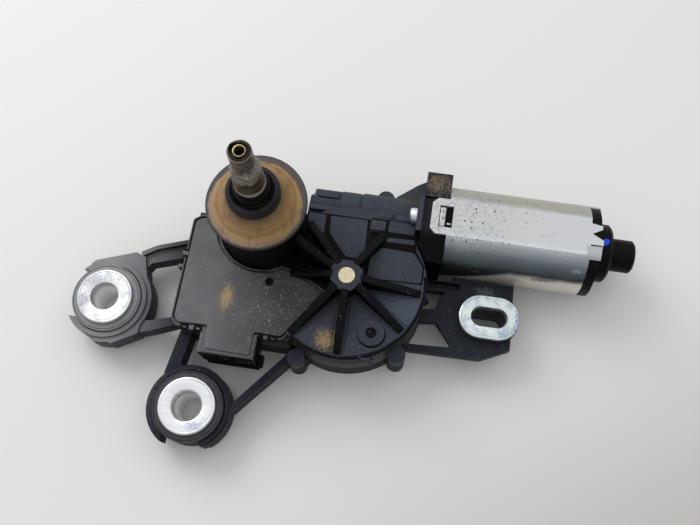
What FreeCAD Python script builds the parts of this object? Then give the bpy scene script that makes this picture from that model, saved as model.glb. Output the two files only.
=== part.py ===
import FreeCAD, Part
import math
import os
import Sketcher

# Rear wiper motor: a worm gear motor with a sweeping output shaft, in millimetres.
# The origin is on the output shaft's axis, in the plane of the back. +X runs along the motor
# towards its end cap and +Z along the output shaft towards its threaded tip.

os.makedirs("parts", exist_ok=True)
document = FreeCAD.newDocument("wiper_motor")

DIMENSIONS = {
    # places of the main axes
    "motor_axis_y": 12.25,
    "motor_axis_height": 17,
    "wheel_axis_x": 33.7,
    # housing
    "wall": 2.4,
    "floor_thickness": 2.5,
    "parting_height": 12,
    "disc_top": 27,
    "disc_plate": 2.6,
    "tray_left": -27,
    "tray_bottom": -41,
    "tray_top": 3,
    "tray_corner": 1.5,
    "tray_slope": 1.5,
    "tray_right": 16,
    "tray_floor": 1.5,
    "tunnel_end_wall": 1.62,
    "tunnel_setback": 5.2,
    "tunnel_back": 20,
    "tunnel_top": 25.4,
    "tunnel_bore": 6.2,
    "pad_height": 1.2,
    "hub_radius": 6,
    "hub_top": 35,
    "rib_thickness": 2.4,
    "rib_low": 0.5,
    "tower_foot_radius": 16.5,
    "tower_neck_radius": 12,
    "tower_neck_length": 10,
    "tower_top_radius": 9,
    "tower_top": 57,
    "end_plate": 2,
    "end_plate_top": 33,
    "lobe_radius": 3.3,
    "lobe_neck_radius": 3,
    "lobe_top": 17,
    "screw_radius": 1.5,
    "screw_head_radius": 2.7,
    "screw_head_height": 1.8,
    "screw_length": 14,
    # fits
    "running_fit": 0.04,
    "free_gap": 0.3,
    "press_gap": 0.01,
    # mounting arms, rings and bushes
    "arm_low": 5,
    "arm_top": 14,
    "fork_radius": 15.6,
    "fork_web": 4,
    "fork_web_low": 7,
    "fork_mouth": 17,
    "upper_bush_x": -56.7,
    "upper_bush_y": -32.9,
    "lower_bush_x": -17,
    "lower_bush_y": -68.4,
    "slotted_bush_x": 87.3,
    "slotted_bush_y": -19.3,
    "groove_radius": 11.3,
    "rubber_radius": 13,
    "rubber_low": 2.5,
    "rubber_top": 16.4,
    "sleeve_low": 1,
    "sleeve_flange": 1.5,
    "sleeve_flange_radius": 10.5,
    "sleeve_tube_radius": 7,
    "sleeve_bore": 5,
    "slot_stretch": 6.1,
    "slot_half_width": 3.3,
    "slotted_flange_half_width": 8.25,
    "slotted_tube_half_width": 5,
    "bracket_low": 9.5,
    "bracket_past_bush": 9.2,
    "bracket_root_depth": 5,
    "bracket_top": -1,
    "bracket_bottom": -35.3,
    # worm gear
    "gear_module": 1,
    "wheel_teeth": 48,
    "worm_pitch_radius": 4.5,
    "worm_turns": 6,
    "wheel_low": 12.2,
    "wheel_face": 9.6,
    "wheel_rim": 3,
    "wheel_recess": 1.6,
    "wheel_room": 1.6,
    "tooth_play": 0.12,
    "axle_radius": 2.95,
    "axle_low": 10.3,
    "clip_radius": 5,
    "clip_thickness": 0.8,
    # crank, link, rod and sector
    "crank_radius": 7,
    "crank_pin_radius": 2,
    "crank_pin_depth": 4,
    "link_length": 16,
    "link_low": 3.5,
    "link_thickness": 1.7,
    "link_pin_radius": 2,
    "rod_thickness": 4,
    "rod_width": 6,
    "rod_boss_radius": 5.5,
    "rod_rim": 2.3,
    "rod_opening_play": 0.25,
    "sector_module": 0.8,
    "sector_teeth": 24,
    "pinion_teeth": 16,
    # output shaft
    "shaft_radius": 5,
    "shaft_foot_radius": 4.2,
    "shaft_low": 3,
    "shaft_shoulder_radius": 6.4,
    "shaft_cone_gap": 1.24,
    "shaft_cone_radius": 5.4,
    "shaft_cone_length": 12.6,
    "shaft_cone_top_radius": 4.7,
    "thread_radius": 4,
    "thread_pitch": 1.25,
    "thread_land": 0.35,
    "thread_length": 10.5,
    "tip_hole_radius": 1.5,
    "tip_hole_depth": 3,
    "output_bush_radius": 7,
    "output_bush_length": 10,
    "stop_washer_radius": 6.3,
    "stop_washer_height": 2.8,
    "circlip_height": 1.2,
    "circlip_groove": 0.5,
    # rubber seal
    "seal_rim_radius": 17.75,
    "seal_rim_drop": 4.5,
    "seal_rim_thickness": 2.4,
    "seal_shoulder_radius": 14.6,
    "seal_neck_radius": 9.3,
    "seal_neck_rise": 1.7,
    "seal_skin": 1.8,
    "seal_grip": 6,
    "collar_bore": 6.5,
    "collar_height": 6,
    # electronics
    "cover_thickness": 1.6,
    "cover_lip": 3,
    "board_height": 15.5,
    "board_thickness": 1.6,
    "relay_length": 14,
    "relay_width": 10,
    "relay_height": 7.5,
    "capacitor_radius": 4,
    "capacitor_height": 7.6,
    "choke_radius": 3,
    "choke_length": 9,
    "connector_left": -15.3,
    "connector_right": 5.2,
    "connector_front": -50,
    "connector_low": 13,
    "connector_wall": 1.8,
    "connector_back_wall": 2,
    "pin_count": 4,
    "pin_pitch": 4.2,
    "pin_half_width": 0.4,
    "pin_length": 10.5,
    # motor
    "flange_thickness": 9.5,
    "can_length": 52,
    "can_radius": 17,
    "can_flat": 15.4,
    "can_wall": 1.5,
    "tab_length": 6.3,
    "tab_half_width": 7,
    "tab_chamfer": 2,
    "window_setback": 3.4,
    "window_length": 5,
    "window_half_width": 4.2,
    "finger_length": 4,
    "finger_width": 5,
    "crimp_reach": 4.6,
    "crimp_back": 5.4,
    "crimp_front": 3,
    "magnet_thickness": 3.2,
    "magnet_span": 120,
    "magnet_setback": 9,
    "magnet_length": 36,
    "air_gap": 0.6,
    "core_setback": 12,
    "core_length": 30,
    "pole_count": 12,
    "pole_slot": 2,
    "winding_overhang": 4,
    "armature_shaft_radius": 2.5,
    "shaft_past_wheel": 13.9,
    "shaft_past_can": 9.5,
    "commutator_setback": 4.5,
    "commutator_length": 9,
    "commutator_radius": 5,
    "brush_width": 3,
    "brush_length": 5.5,
    "flange_half_width": 17.7,
    "flange_top": 30.7,
    "flange_low": 0.6,
    "flange_cavity": 13,
    "flange_cavity_flat": 9.2,
    "holder_setback": 3.5,
    "holder_thickness": 2,
    "bearing_radius": 5.5,
    "bearing_length": 6,
    "front_bearing_setback": 8.5,
    "ball_radius": 1.8,
    "thrust_bush_grip": 2.1,
    "cap_flange": 3.5,
    "cap_dome_radius": 11,
    "cap_dome_length": 9.5,
    "cap_boss_radius": 6.2,
    "cap_length": 19,
    "cap_wall": 1.6,
    "motor_screw_reach": 11.6,
    "motor_screw_head": 2.6,
    "motor_screw_radius": 1.8,
    "motor_screw_length": 9,
}

sheet = document.addObject("Spreadsheet::Sheet", "sizes")
for row, (alias, number) in enumerate(DIMENSIONS.items(), start=1):
    sheet.set(f"A{row}", alias)
    sheet.set(f"B{row}", str(number))
    sheet.setAlias(f"B{row}", alias)
document.recompute()


class Size:
    """A number together with the sheet formula that gives it."""

    def __init__(self, value, formula):
        self.value = value
        self.formula = formula

    def __add__(self, other):
        other = as_size(other)
        return Size(self.value + other.value, f"({self.formula} + {other.formula})")

    def __sub__(self, other):
        other = as_size(other)
        return Size(self.value - other.value, f"({self.formula} - {other.formula})")

    def __mul__(self, other):
        other = as_size(other)
        return Size(self.value * other.value, f"({self.formula} * {other.formula})")

    def __truediv__(self, other):
        other = as_size(other)
        return Size(self.value / other.value, f"({self.formula} / {other.formula})")

    def __neg__(self):
        return Size(-self.value, f"(0 - {self.formula})")


def as_size(number):
    """A plain number as a Size, and a Size as it is."""
    return number if isinstance(number, Size) else Size(number, f"({number:.9g})")


def size(alias):
    """The named cell of the sheet."""
    return Size(float(sheet.get(alias)), f"sizes.{alias}")


def bind(item, path, number):
    """Bind one property of an object to a sheet formula."""
    item.setExpression(path, as_size(number).formula)


def place(item, x=0, y=0, z=0, turn=0.0, along_motor=False):
    """Put an object at a point, turned about +Z, or with its own Z axis laid along the motor."""
    turned = FreeCAD.Rotation(FreeCAD.Vector(0, 0, 1), turn)
    if along_motor:
        turned = FreeCAD.Rotation(FreeCAD.Vector(0, 1, 0), 90)
    spot = FreeCAD.Vector(*(as_size(number).value for number in (x, y, z)))
    item.Placement = FreeCAD.Placement(spot, turned)
    for axis, number in zip("xyz", (x, y, z)):
        bind(item, f"Placement.Base.{axis}", number)
    return item


def cylinder(radius, height, x=0, y=0, z=0, along_motor=False):
    item = document.addObject("Part::Cylinder", "cylinder")
    bind(item, "Radius", radius)
    bind(item, "Height", height)
    return place(item, x, y, z, along_motor=along_motor)


def box(x_low, x_high, y_low, y_high, z_low, z_high):
    item = document.addObject("Part::Box", "box")
    bind(item, "Length", as_size(x_high) - x_low)
    bind(item, "Width", as_size(y_high) - y_low)
    bind(item, "Height", as_size(z_high) - z_low)
    return place(item, x_low, y_low, z_low)


def fuse(*pieces):
    item = document.addObject("Part::MultiFuse", "fused")
    item.Shapes = list(pieces)
    item.Refine = True
    return item


def cut(base, *tools):
    item = document.addObject("Part::Cut", "cut")
    item.Base = base
    item.Tool = tools[0] if len(tools) == 1 else fuse(*tools)
    item.Refine = True
    return item


def common(base, tool):
    item = document.addObject("Part::Common", "common")
    item.Base = base
    item.Tool = tool
    return item


def origin_plane(body, role):
    return next(plane for plane in body.Origin.OriginFeatures if plane.Role == role)


def outline_sketch(body, role, points):
    """A closed outline of straight lines, each corner bound to the sheet."""
    sketch = body.newObject("Sketcher::SketchObject", "outline")
    sketch.AttachmentSupport = [(origin_plane(body, role), "")]
    sketch.MapMode = "FlatFace"
    corners = [(as_size(across), as_size(up)) for across, up in points]
    spots = [FreeCAD.Vector(across.value, up.value, 0) for across, up in corners]
    for index, start in enumerate(spots):
        end = spots[(index + 1) % len(spots)]
        sketch.addGeometry(Part.LineSegment(start, end))
    for index, (across, up) in enumerate(corners):
        following = (index + 1) % len(corners)
        sketch.addConstraint(Sketcher.Constraint("Coincident", index, 2, following, 1))
        for kind, number in (("DistanceX", across), ("DistanceY", up)):
            rule = Sketcher.Constraint(kind, -1, 1, index, 1, number.value)
            name = f"{kind}_{index}"
            rule_index = sketch.addConstraint(rule)
            sketch.renameConstraint(rule_index, name)
            bind(sketch, f"Constraints.{name}", number)
    return sketch


def turned(points, x=0, y=0, z=0, along_motor=False):
    """A turned piece: its outline, as radius and height, turned about its own Z axis."""
    body = document.addObject("PartDesign::Body", "turned")
    sketch = outline_sketch(body, "XZ_Plane", points)
    feature = body.newObject("PartDesign::Revolution", "revolution")
    feature.Profile = sketch
    feature.ReferenceAxis = (sketch, ["V_Axis"])
    feature.Angle = 360
    return place(body, x, y, z, along_motor=along_motor)


def slab(points, low, high):
    """A flat piece: its outline from above, padded between two heights."""
    body = document.addObject("PartDesign::Body", "slab")
    sketch = outline_sketch(body, "XY_Plane", points)
    feature = body.newObject("PartDesign::Pad", "pad")
    feature.Profile = sketch
    bind(feature, "Length", as_size(high) - low)
    return place(body, 0, 0, low)


def wedge(points, thickness, x, y, turn):
    """A rib: its side outline, padded to both sides, turned about an upright axis."""
    body = document.addObject("PartDesign::Body", "wedge")
    sketch = outline_sketch(body, "XZ_Plane", points)
    feature = body.newObject("PartDesign::Pad", "pad")
    feature.Profile = sketch
    feature.Midplane = True
    bind(feature, "Length", thickness)
    return place(body, x, y, 0, turn=turn)


def stadium(reach, radius, low, high, x, y):
    """An upright post with two round ends, its long axis along X."""
    left = cylinder(radius, high - low, x - reach, y, low)
    right = cylinder(radius, high - low, x + reach, y, low)
    middle = box(x - reach, x + reach, y - radius, y + radius, low, high)
    return fuse(left, right, middle)


def built(shape):
    """A piece whose shape is worked out here from the sheet's sizes."""
    item = document.addObject("Part::Feature", "built")
    item.Shape = Part.Compound([shape])
    return item


pieces = {}


def node(name, item):
    """Give a finished piece its name."""
    item.Label = name
    pieces[name] = item
    return item


# Main axes and heights
motor_y = size("motor_axis_y")
motor_z = size("motor_axis_height")
wheel_radius = size("gear_module") * size("wheel_teeth") / 2
wheel_x = size("wheel_axis_x")
wheel_y = motor_y - wheel_radius - size("worm_pitch_radius")
wall = size("wall")
parting = size("parting_height")
floor = size("floor_thickness")
disc_radius = wheel_radius + size("gear_module") + size("wheel_room") + wall
disc_top = size("disc_top")
play = size("running_fit")
gap = size("free_gap")
press = size("press_gap")
tray_left = size("tray_left")
tray_bottom = size("tray_bottom")
tray_top = size("tray_top")
tray_right = size("tray_right")
cover_low = disc_top - size("cover_thickness")


def tray_outline(inset):
    """The electronics tray from above, its free sides moved in by the inset."""
    corner = size("tray_corner")
    left = tray_left + inset
    bottom = tray_bottom + inset
    return [
        (left + size("tray_slope"), tray_top - inset),
        (left, bottom + corner),
        (left + corner, bottom),
        (tray_right - inset, bottom),
        (wheel_x, wheel_y),
        (wheel_x, tray_top - inset),
    ]


shaft_start = wheel_x - size("shaft_past_wheel")
bore_start = shaft_start - size("ball_radius") * 2 - play * 2
tunnel_left = bore_start - size("tunnel_end_wall")
tunnel_right = wheel_x + disc_radius - size("tunnel_setback")
tunnel_back = size("tunnel_back")
step = size("lobe_radius")
tunnel_outline = [
    (tunnel_left, 0),
    (tunnel_left, tunnel_back - step * 1.4),
    (tunnel_left + step * 2, tunnel_back),
    (tunnel_left + step * 3.4, tunnel_back),
    (tunnel_left + step * 3.7, tunnel_back - step * 0.8),
    (tunnel_left + step * 6, tunnel_back - step * 0.8),
    (tunnel_left + step * 7.2, tunnel_back),
    (tunnel_right - step * 3.2, tunnel_back + step * 0.6),
    (tunnel_right - step * 0.9, motor_y + size("flange_half_width") - gap * 6),
    (tunnel_right, motor_y + size("flange_half_width")),
    (tunnel_right, motor_y - size("flange_half_width")),
    (wheel_x, 0),
]



def beside_disc(turn, reach):
    """A point at an angle about the wheel's axis, a distance outside the disc's edge."""
    along = math.radians(turn)
    away = disc_radius + reach
    return wheel_x + away * math.cos(along), wheel_y + away * math.sin(along)


front_lobe_turn = -45.5
left_lobe_turn = -117.5
lobes = {
    "back": (wheel_x + 9.1, tunnel_back + step * 0.7),
    "front": beside_disc(front_lobe_turn, 1.83),
    "left": beside_disc(left_lobe_turn, 3.25),
    "corner": (tray_left + 5.6, tray_top - 5.6),
}
lobe_necks = [beside_disc(front_lobe_turn, 0), beside_disc(left_lobe_turn, 0)]


# Mounting base: the lower tub with the arms that carry the three bushes
def housing_posts(grow, low, high):
    """The upright outlines that the base and the housing share, grown by a clearance."""
    return [
        cylinder(disc_radius + grow, high - low, wheel_x, wheel_y, low),
        slab(tray_outline(-grow), low, high),
        cylinder(size("tower_foot_radius") + grow, high - low, 0, 0, low),
        *(cylinder(step + grow, high - low, x, y, low) for x, y in lobes.values()),
        *(
            cylinder(size("lobe_neck_radius") + grow, high - low, x, y, low)
            for x, y in lobe_necks
        ),
    ]


tub_outside = fuse(*housing_posts(as_size(0), as_size(0), parting), slab(tunnel_outline, 0, parting))
worm_bore = cylinder(
    size("tunnel_bore"), tunnel_right - bore_start, bore_start, motor_y, motor_z,
    along_motor=True,
)
corner_x, corner_y = lobes["corner"]
tub_inside = cut(
    fuse(
        cylinder(disc_radius - wall, parting, wheel_x, wheel_y, floor),
        slab(tray_outline(wall), floor, parting + floor),
        cylinder(size("tower_foot_radius") - wall, parting, 0, 0, floor),
    ),
    cylinder(step, parting + floor, corner_x, corner_y),
)
screw_holes = [
    cylinder(size("screw_radius") + press, size("screw_length") + 0.5, x, y, -0.5)
    for x, y in lobes.values()
]
head_holes = [
    cylinder(size("screw_head_radius") + press, size("screw_head_height") + 0.5, x, y, -0.5)
    for x, y in lobes.values()
]
arm_low = size("arm_low")
arm_top = size("arm_top")
fork_radius = size("fork_radius")
upper_x = size("upper_bush_x")
upper_y = size("upper_bush_y")
lower_x = size("lower_bush_x")
lower_y = size("lower_bush_y")
tray_inner = tray_left + size("tray_slope") + wall / 2
arms = [
    # upper bush, upper arm, with its bend
    slab(
        [
            (upper_x + 4, upper_y + fork_radius - gap),
            (upper_x + 9.4, upper_y + 21),
            (upper_x + 14.2, upper_y + 24),
            (tray_inner, upper_y + 30.4),
            (tray_inner, upper_y + 23.6),
            (upper_x + 13, upper_y + 17),
            (upper_x + 9.4, upper_y + 11.5),
        ],
        arm_low, arm_top - 2,
    ),
    slab(
        [
            (upper_x + 8.4, upper_y + 20.4),
            (upper_x + 14.2, upper_y + 24),
            (tray_inner, upper_y + 30.4),
            (tray_inner, upper_y + 28.8),
            (upper_x + 14.6, upper_y + 22.4),
            (upper_x + 9.4, upper_y + 19),
        ],
        arm_low, arm_top,
    ),
    # upper bush, lower arm
    slab(
        [
            (upper_x + 8, upper_y - 13),
            (upper_x + 19, upper_y - 9.4),
            (tray_left + wall / 2, tray_bottom + 3.6),
            (tray_left + wall / 2, tray_bottom + 6.6),
            (upper_x + 17.8, upper_y - 5.6),
            (upper_x + 13.4, upper_y - 6),
        ],
        arm_low, arm_top - 1,
    ),
    # lower bush, left arm
    slab(
        [
            (lower_x - 11.8, lower_y + 9),
            (lower_x - 11.5, lower_y + 12.4),
            (tray_left + wall / 2, tray_bottom + wall),
            (tray_left + 5.6, tray_bottom + wall / 2),
            (lower_x - 6.3, lower_y + 15.4),
            (lower_x - 4, lower_y + 14),
        ],
        arm_low, arm_top,
    ),
    # lower bush, long right arm
    slab(
        [
            (lower_x + 14.6, lower_y + 0.4),
            (lower_x + 15.6, lower_y + 4),
            (wheel_x - 15.6, tray_bottom + wall / 2),
            (wheel_x - 11.6, tray_bottom + wall / 2),
            (lower_x + 15.9, lower_y + 0.8),
        ],
        arm_low, arm_top,
    ),
]
fork_plates = [
    # upper bush: open to the left, with a straight upper lip and a blunt lower one
    fuse(
        cylinder(fork_radius, arm_top - arm_low, upper_x, upper_y, arm_low),
        slab(
            [
                (upper_x - 8, upper_y + 14.6),
                (upper_x + 6.8, upper_y + 20),
                (upper_x + 10.6, upper_y + 18.6),
                (upper_x + 14.6, upper_y + 5),
                (upper_x, upper_y),
                (upper_x - 9.2, upper_y + 10.4),
                (upper_x - 9.6, upper_y + 13),
            ],
            arm_low, arm_top,
        ),
        slab(
            [
                (upper_x - 6.8, upper_y - 9.2),
                (upper_x - 6.4, upper_y - 11.8),
                (upper_x + 5.3, upper_y - 16.8),
                (upper_x + 14.6, upper_y - 11.4),
                (upper_x + 14.6, upper_y),
                (upper_x, upper_y),
            ],
            arm_low, arm_top,
        ),
    ),
    # lower bush: open to the front
    fuse(
        cylinder(fork_radius, arm_top - arm_low, lower_x, lower_y, arm_low),
        slab(
            [
                (lower_x - 15.4, lower_y),
                (lower_x - 13.2, lower_y - 7.2),
                (lower_x - 5.4, lower_y - 11.4),
                (lower_x, lower_y),
            ],
            arm_low, arm_top,
        ),
        slab(
            [
                (lower_x + 15.4, lower_y),
                (lower_x + 14.6, lower_y - 4.2),
                (lower_x + 9.6, lower_y - 6.6),
                (lower_x, lower_y),
            ],
            arm_low, arm_top,
        ),
    ),
]
web_low = size("fork_web_low")
web_high = web_low + size("fork_web")
groove = size("groove_radius") + gap
cup = size("rubber_radius") + gap
half_mouth = size("fork_mouth") / 2
mouths = [
    slab(
        [
            (upper_x - fork_radius * 1.5, upper_y - half_mouth),
            (upper_x - fork_radius * 1.5, upper_y + half_mouth * 1.3),
            (upper_x, upper_y + half_mouth * 1.1),
            (upper_x, upper_y - half_mouth),
        ],
        arm_low - 1, arm_top + 1,
    ),
    slab(
        [
            (lower_x - half_mouth * 0.9, lower_y - fork_radius * 1.5),
            (lower_x + half_mouth * 1.1, lower_y - fork_radius * 1.5),
            (lower_x + half_mouth * 1.1, lower_y),
            (lower_x - half_mouth * 0.9, lower_y),
        ],
        arm_low - 1, arm_top + 1,
    ),
]
bush_holes = []
for x, y in ((upper_x, upper_y), (lower_x, lower_y)):
    bush_holes.append(cylinder(groove, arm_top + 1, x, y))
    bush_holes.append(cylinder(cup, web_low - arm_low + 1, x, y, arm_low - 1))
    bush_holes.append(cylinder(cup, arm_top - web_high + 1, x, y, web_high))

# The bracket on the right, with two windows and a slotted bush
slot_x = size("slotted_bush_x")
slot_y = size("slotted_bush_y")
slot_reach = size("slot_stretch") / 2
bracket_low = size("bracket_low")
bracket_root = wheel_x + disc_radius - size("bracket_root_depth")
bracket_right = slot_x + size("bracket_past_bush")
bracket_top = size("bracket_top")
bracket_bottom = size("bracket_bottom")
bracket_plate = slab(
    [
        (bracket_root, bracket_bottom),
        (bracket_right - 10.4, bracket_bottom + 0.6),
        (bracket_right, bracket_bottom + 5.6),
        (bracket_right - 1, bracket_top),
        (bracket_right - 23.6, bracket_top - 0.8),
        (bracket_right - 24.6, bracket_top - 5.4),
        (bracket_root + 1.6, bracket_top - 6.4),
        (bracket_root - 4, wheel_y),
    ],
    bracket_low, arm_top,
)
windows = [
    slab(
        [
            (bracket_root + 1, bracket_top - 10.2),
            (bracket_right - 26, bracket_top - 10),
            (bracket_right - 28.4, bracket_top - 13),
            (bracket_right - 29.4, bracket_top - 17.2),
            (bracket_root + 3, bracket_top - 17.8),
            (bracket_root + 7, bracket_top - 14),
        ],
        bracket_low - 1, arm_top + 1,
    ),
    slab(
        [
            (bracket_root + 1, bracket_top - 23.2),
            (bracket_right - 28.4, bracket_top - 22),
            (bracket_right - 26, bracket_top - 24.8),
            (bracket_right - 22, bracket_top - 29.6),
            (bracket_right - 23, bracket_top - 31),
            (bracket_root - 2, bracket_top - 32),
        ],
        bracket_low - 1, arm_top + 1,
    ),
]
slotted_hole = stadium(
    slot_reach, size("slotted_tube_half_width") + 2 + gap, bracket_low - 1, arm_top + 1,
    slot_x, slot_y,
)
bracket_groove = box(
    bracket_root + 5.4, bracket_right - 21, bracket_top - 8.6, bracket_top - 6.2,
    arm_top - 2.6, arm_top + 1,
)
bracket = cut(bracket_plate, *windows, bracket_groove)
motor_screw_z = [motor_z + size("motor_screw_reach"), motor_z - size("motor_screw_reach")]
motor_screw_start = tunnel_right - size("end_plate")
motor_head_radius = size("motor_screw_radius") + 1.2
motor_screw_holes = [
    cylinder(
        size("motor_screw_radius") + press, 6, tunnel_right - 5, motor_y, z, along_motor=True,
    )
    for z in motor_screw_z
]
screw_pocket = box(
    motor_screw_start - 8, motor_screw_start, motor_y - motor_head_radius - gap,
    motor_y + motor_head_radius + gap, -1, motor_screw_z[1] + motor_head_radius + gap,
)
node("mounting_base", cut(
    fuse(tub_outside, *arms, *fork_plates, bracket),
    tub_inside, worm_bore, *screw_holes, *head_holes, *mouths, *bush_holes,
    slotted_hole, motor_screw_holes[1], screw_pocket,
    *housing_posts(play, parting, arm_top + 1),
    cylinder(
        size("can_radius") + gap, size("flange_thickness") + size("can_length"), tunnel_right,
        motor_y, motor_z, along_motor=True,
    ),
))

# Gear housing: the upper shell with the shaft tower, the hub and the ribs
tower_top = size("tower_top")
neck_low = tower_top - size("tower_neck_length")
tower = turned([
    (0, parting),
    (size("tower_foot_radius"), parting),
    (size("tower_foot_radius"), disc_top),
    (size("tower_neck_radius"), neck_low),
    (size("tower_top_radius"), neck_low + 2),
    (size("tower_top_radius"), tower_top),
    (0, tower_top),
])
hub = document.addObject("Part::Prism", "hub")
hub.Polygon = 8
bind(hub, "Circumradius", size("hub_radius"))
bind(hub, "Height", size("hub_top") - disc_top + size("disc_plate"))
place(hub, wheel_x, wheel_y, disc_top - size("disc_plate"), turn=22.5)


def rib(reach, turn):
    """A rib that falls from the hub to the disc's top."""
    low = disc_top - 1
    return wedge(
        [
            (0, low),
            (0, size("hub_top")),
            (size("hub_radius") - 1, size("hub_top")),
            (reach, disc_top + size("rib_low")),
            (reach, low),
        ],
        size("rib_thickness"), wheel_x, wheel_y, turn,
    )


shaft_turn = math.degrees(math.atan2(-wheel_y.value, -wheel_x.value))
ribs = [rib(disc_radius - 2, turn) for turn in (-2, -35, -89)]
ribs.append(rib(disc_radius - 1, -128))
ribs.append(rib(disc_radius - 6.6, 61))
ribs.append(rib(disc_radius - 2, 130))
ribs.append(rib(disc_radius - 8, 180))
shaft_rib = wedge(
    [
        (size("hub_radius") - 2, disc_top - 1),
        (size("hub_radius") - 2, size("hub_top")),
        (disc_radius - 8, size("hub_top") + 6),
        (disc_radius - 6, disc_top - 1),
    ],
    size("rib_thickness"), wheel_x, wheel_y, shaft_turn,
)
tunnel_top = size("tunnel_top")
tunnel_body = document.addObject("PartDesign::Body", "tunnel")
tunnel_sketch = outline_sketch(tunnel_body, "YZ_Plane", [
    (0, parting),
    (0, tunnel_top),
    (motor_y - 1, tunnel_top),
    (motor_y + 4.4, tunnel_top - 1.4),
    (tunnel_back - 0.6, motor_z + 2),
    (tunnel_back, parting),
])
tunnel_pad = tunnel_body.newObject("PartDesign::Pad", "pad")
tunnel_pad.Profile = tunnel_sketch
bind(tunnel_pad, "Length", tunnel_right - tunnel_left)
place(tunnel_body, tunnel_left, 0, 0)
pad_top = tunnel_top + size("pad_height")
pads_end = motor_screw_start - size("motor_screw_head") - gap
tunnel_pads = [
    slab(
        [
            (wheel_x - 10.8, motor_y - 2.2),
            (wheel_x + 3.8, motor_y - 2.4),
            (wheel_x + 5, wheel_y + 10),
            (wheel_x, wheel_y + 8),
            (wheel_x - 9.8, wheel_y + 15.4),
        ],
        tunnel_top - 1, pad_top,
    ),
    box(wheel_x + 4.6, wheel_x + 10.6, motor_y - 6.8, motor_y - 1.7, tunnel_top - 1, pad_top),
    box(wheel_x + 11.6, pads_end, motor_y - 7.2, motor_y - 1.6, tunnel_top - 1, pad_top),
    box(wheel_x + 11.6, pads_end, motor_y - 11, motor_y - 8.8, tunnel_top - 1, pad_top),
]
open_pocket = box(
    wheel_x + 5.4, wheel_x + 9.6, motor_y - 11.6, motor_y - 7.8, tunnel_top - 1.4, disc_top + 1,
)
end_plate = box(
    tunnel_right - size("end_plate"), tunnel_right,
    motor_y - size("tab_half_width"), motor_y + size("tab_half_width"),
    parting, size("end_plate_top"),
)
back_block = slab(
    [
        (tunnel_right - step * 3.2, tunnel_back - step),
        (tunnel_right - step * 3.2, tunnel_back + step * 0.6),
        (tunnel_right - step * 0.9, motor_y + size("flange_half_width") - gap * 6),
        (tunnel_right, motor_y + size("flange_half_width")),
        (tunnel_right, tunnel_back - step),
    ],
    parting, motor_z + 4,
)
back_ridge = box(
    tunnel_left + step * 2, tunnel_left + step * 3.4, motor_y + 4, tunnel_back,
    parting, motor_z + 4.4,
)
tray_block = slab(tray_outline(0), parting, cover_low)
boss_x = wheel_x + 11.5
boss_y = wheel_y - 17.9
sunk_boss = cut(
    cylinder(4.8, 1.4, boss_x, boss_y, disc_top - 0.2),
    cylinder(2, 4, boss_x, boss_y, disc_top - 1),
)
tray_space = cut(
    slab(tray_outline(wall), parting + size("tray_floor"), disc_top),
    cylinder(disc_radius, disc_top, wheel_x, wheel_y),
    cylinder(size("tower_foot_radius"), disc_top),
    cylinder(step, disc_top, corner_x, corner_y),
    box(tray_right - 14, wheel_x, tray_top - 20, tray_top, 0, disc_top + 1),
)
output_bore = cylinder(size("output_bush_radius") + press, tower_top)
# Places of the board and of the connector's pins, which pass through the tray's wall
board_z = size("board_height")
board_top = board_z + size("board_thickness")
connector_left = size("connector_left")
connector_right = size("connector_right")
pin_z = board_top + 1.6
pin_span = size("pin_pitch") * (size("pin_count") - 1)
pin_first = (connector_left + connector_right) / 2 - pin_span / 2
pin_half = size("pin_half_width")
pin_back = tray_bottom + size("pin_length") / 2
pin_front = tray_bottom - size("pin_length") / 2 - 1
pin_places = [
    pin_first + size("pin_pitch") * index for index in range(int(size("pin_count").value))
]
pin_holes = [
    box(
        x - pin_half - press, x + pin_half + press, pin_front, pin_back,
        pin_z - pin_half - press, pin_z + pin_half + press,
    )
    for x in pin_places
]
node("gear_housing", cut(
    fuse(
        cylinder(disc_radius, disc_top - parting, wheel_x, wheel_y, parting),
        tray_block, tower, hub, *ribs, shaft_rib, tunnel_body, *tunnel_pads, end_plate,
        back_block, back_ridge, sunk_boss,
        *(cylinder(step, size("lobe_top") - parting, x, y, parting) for x, y in lobes.values()),
    ),
    cylinder(
        disc_radius - wall, disc_top - size("disc_plate") - parting, wheel_x, wheel_y, parting,
    ),
    cylinder(size("axle_radius") + press, size("hub_top"), wheel_x, wheel_y),
    worm_bore, output_bore, tray_space, open_pocket, motor_screw_holes[0], *screw_holes, *pin_holes,
))

# Screws that hold the base to the housing, from the back
node("housing_screws", fuse(*(
    turned(
        [
            (0, 0),
            (size("screw_head_radius"), 0),
            (size("screw_head_radius"), size("screw_head_height")),
            (size("screw_radius"), size("screw_head_height")),
            (size("screw_radius"), size("screw_length") - 0.6),
            (size("screw_radius") - 0.6, size("screw_length")),
            (0, size("screw_length")),
        ],
        x, y,
    )
    for x, y in lobes.values()
)))

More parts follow.
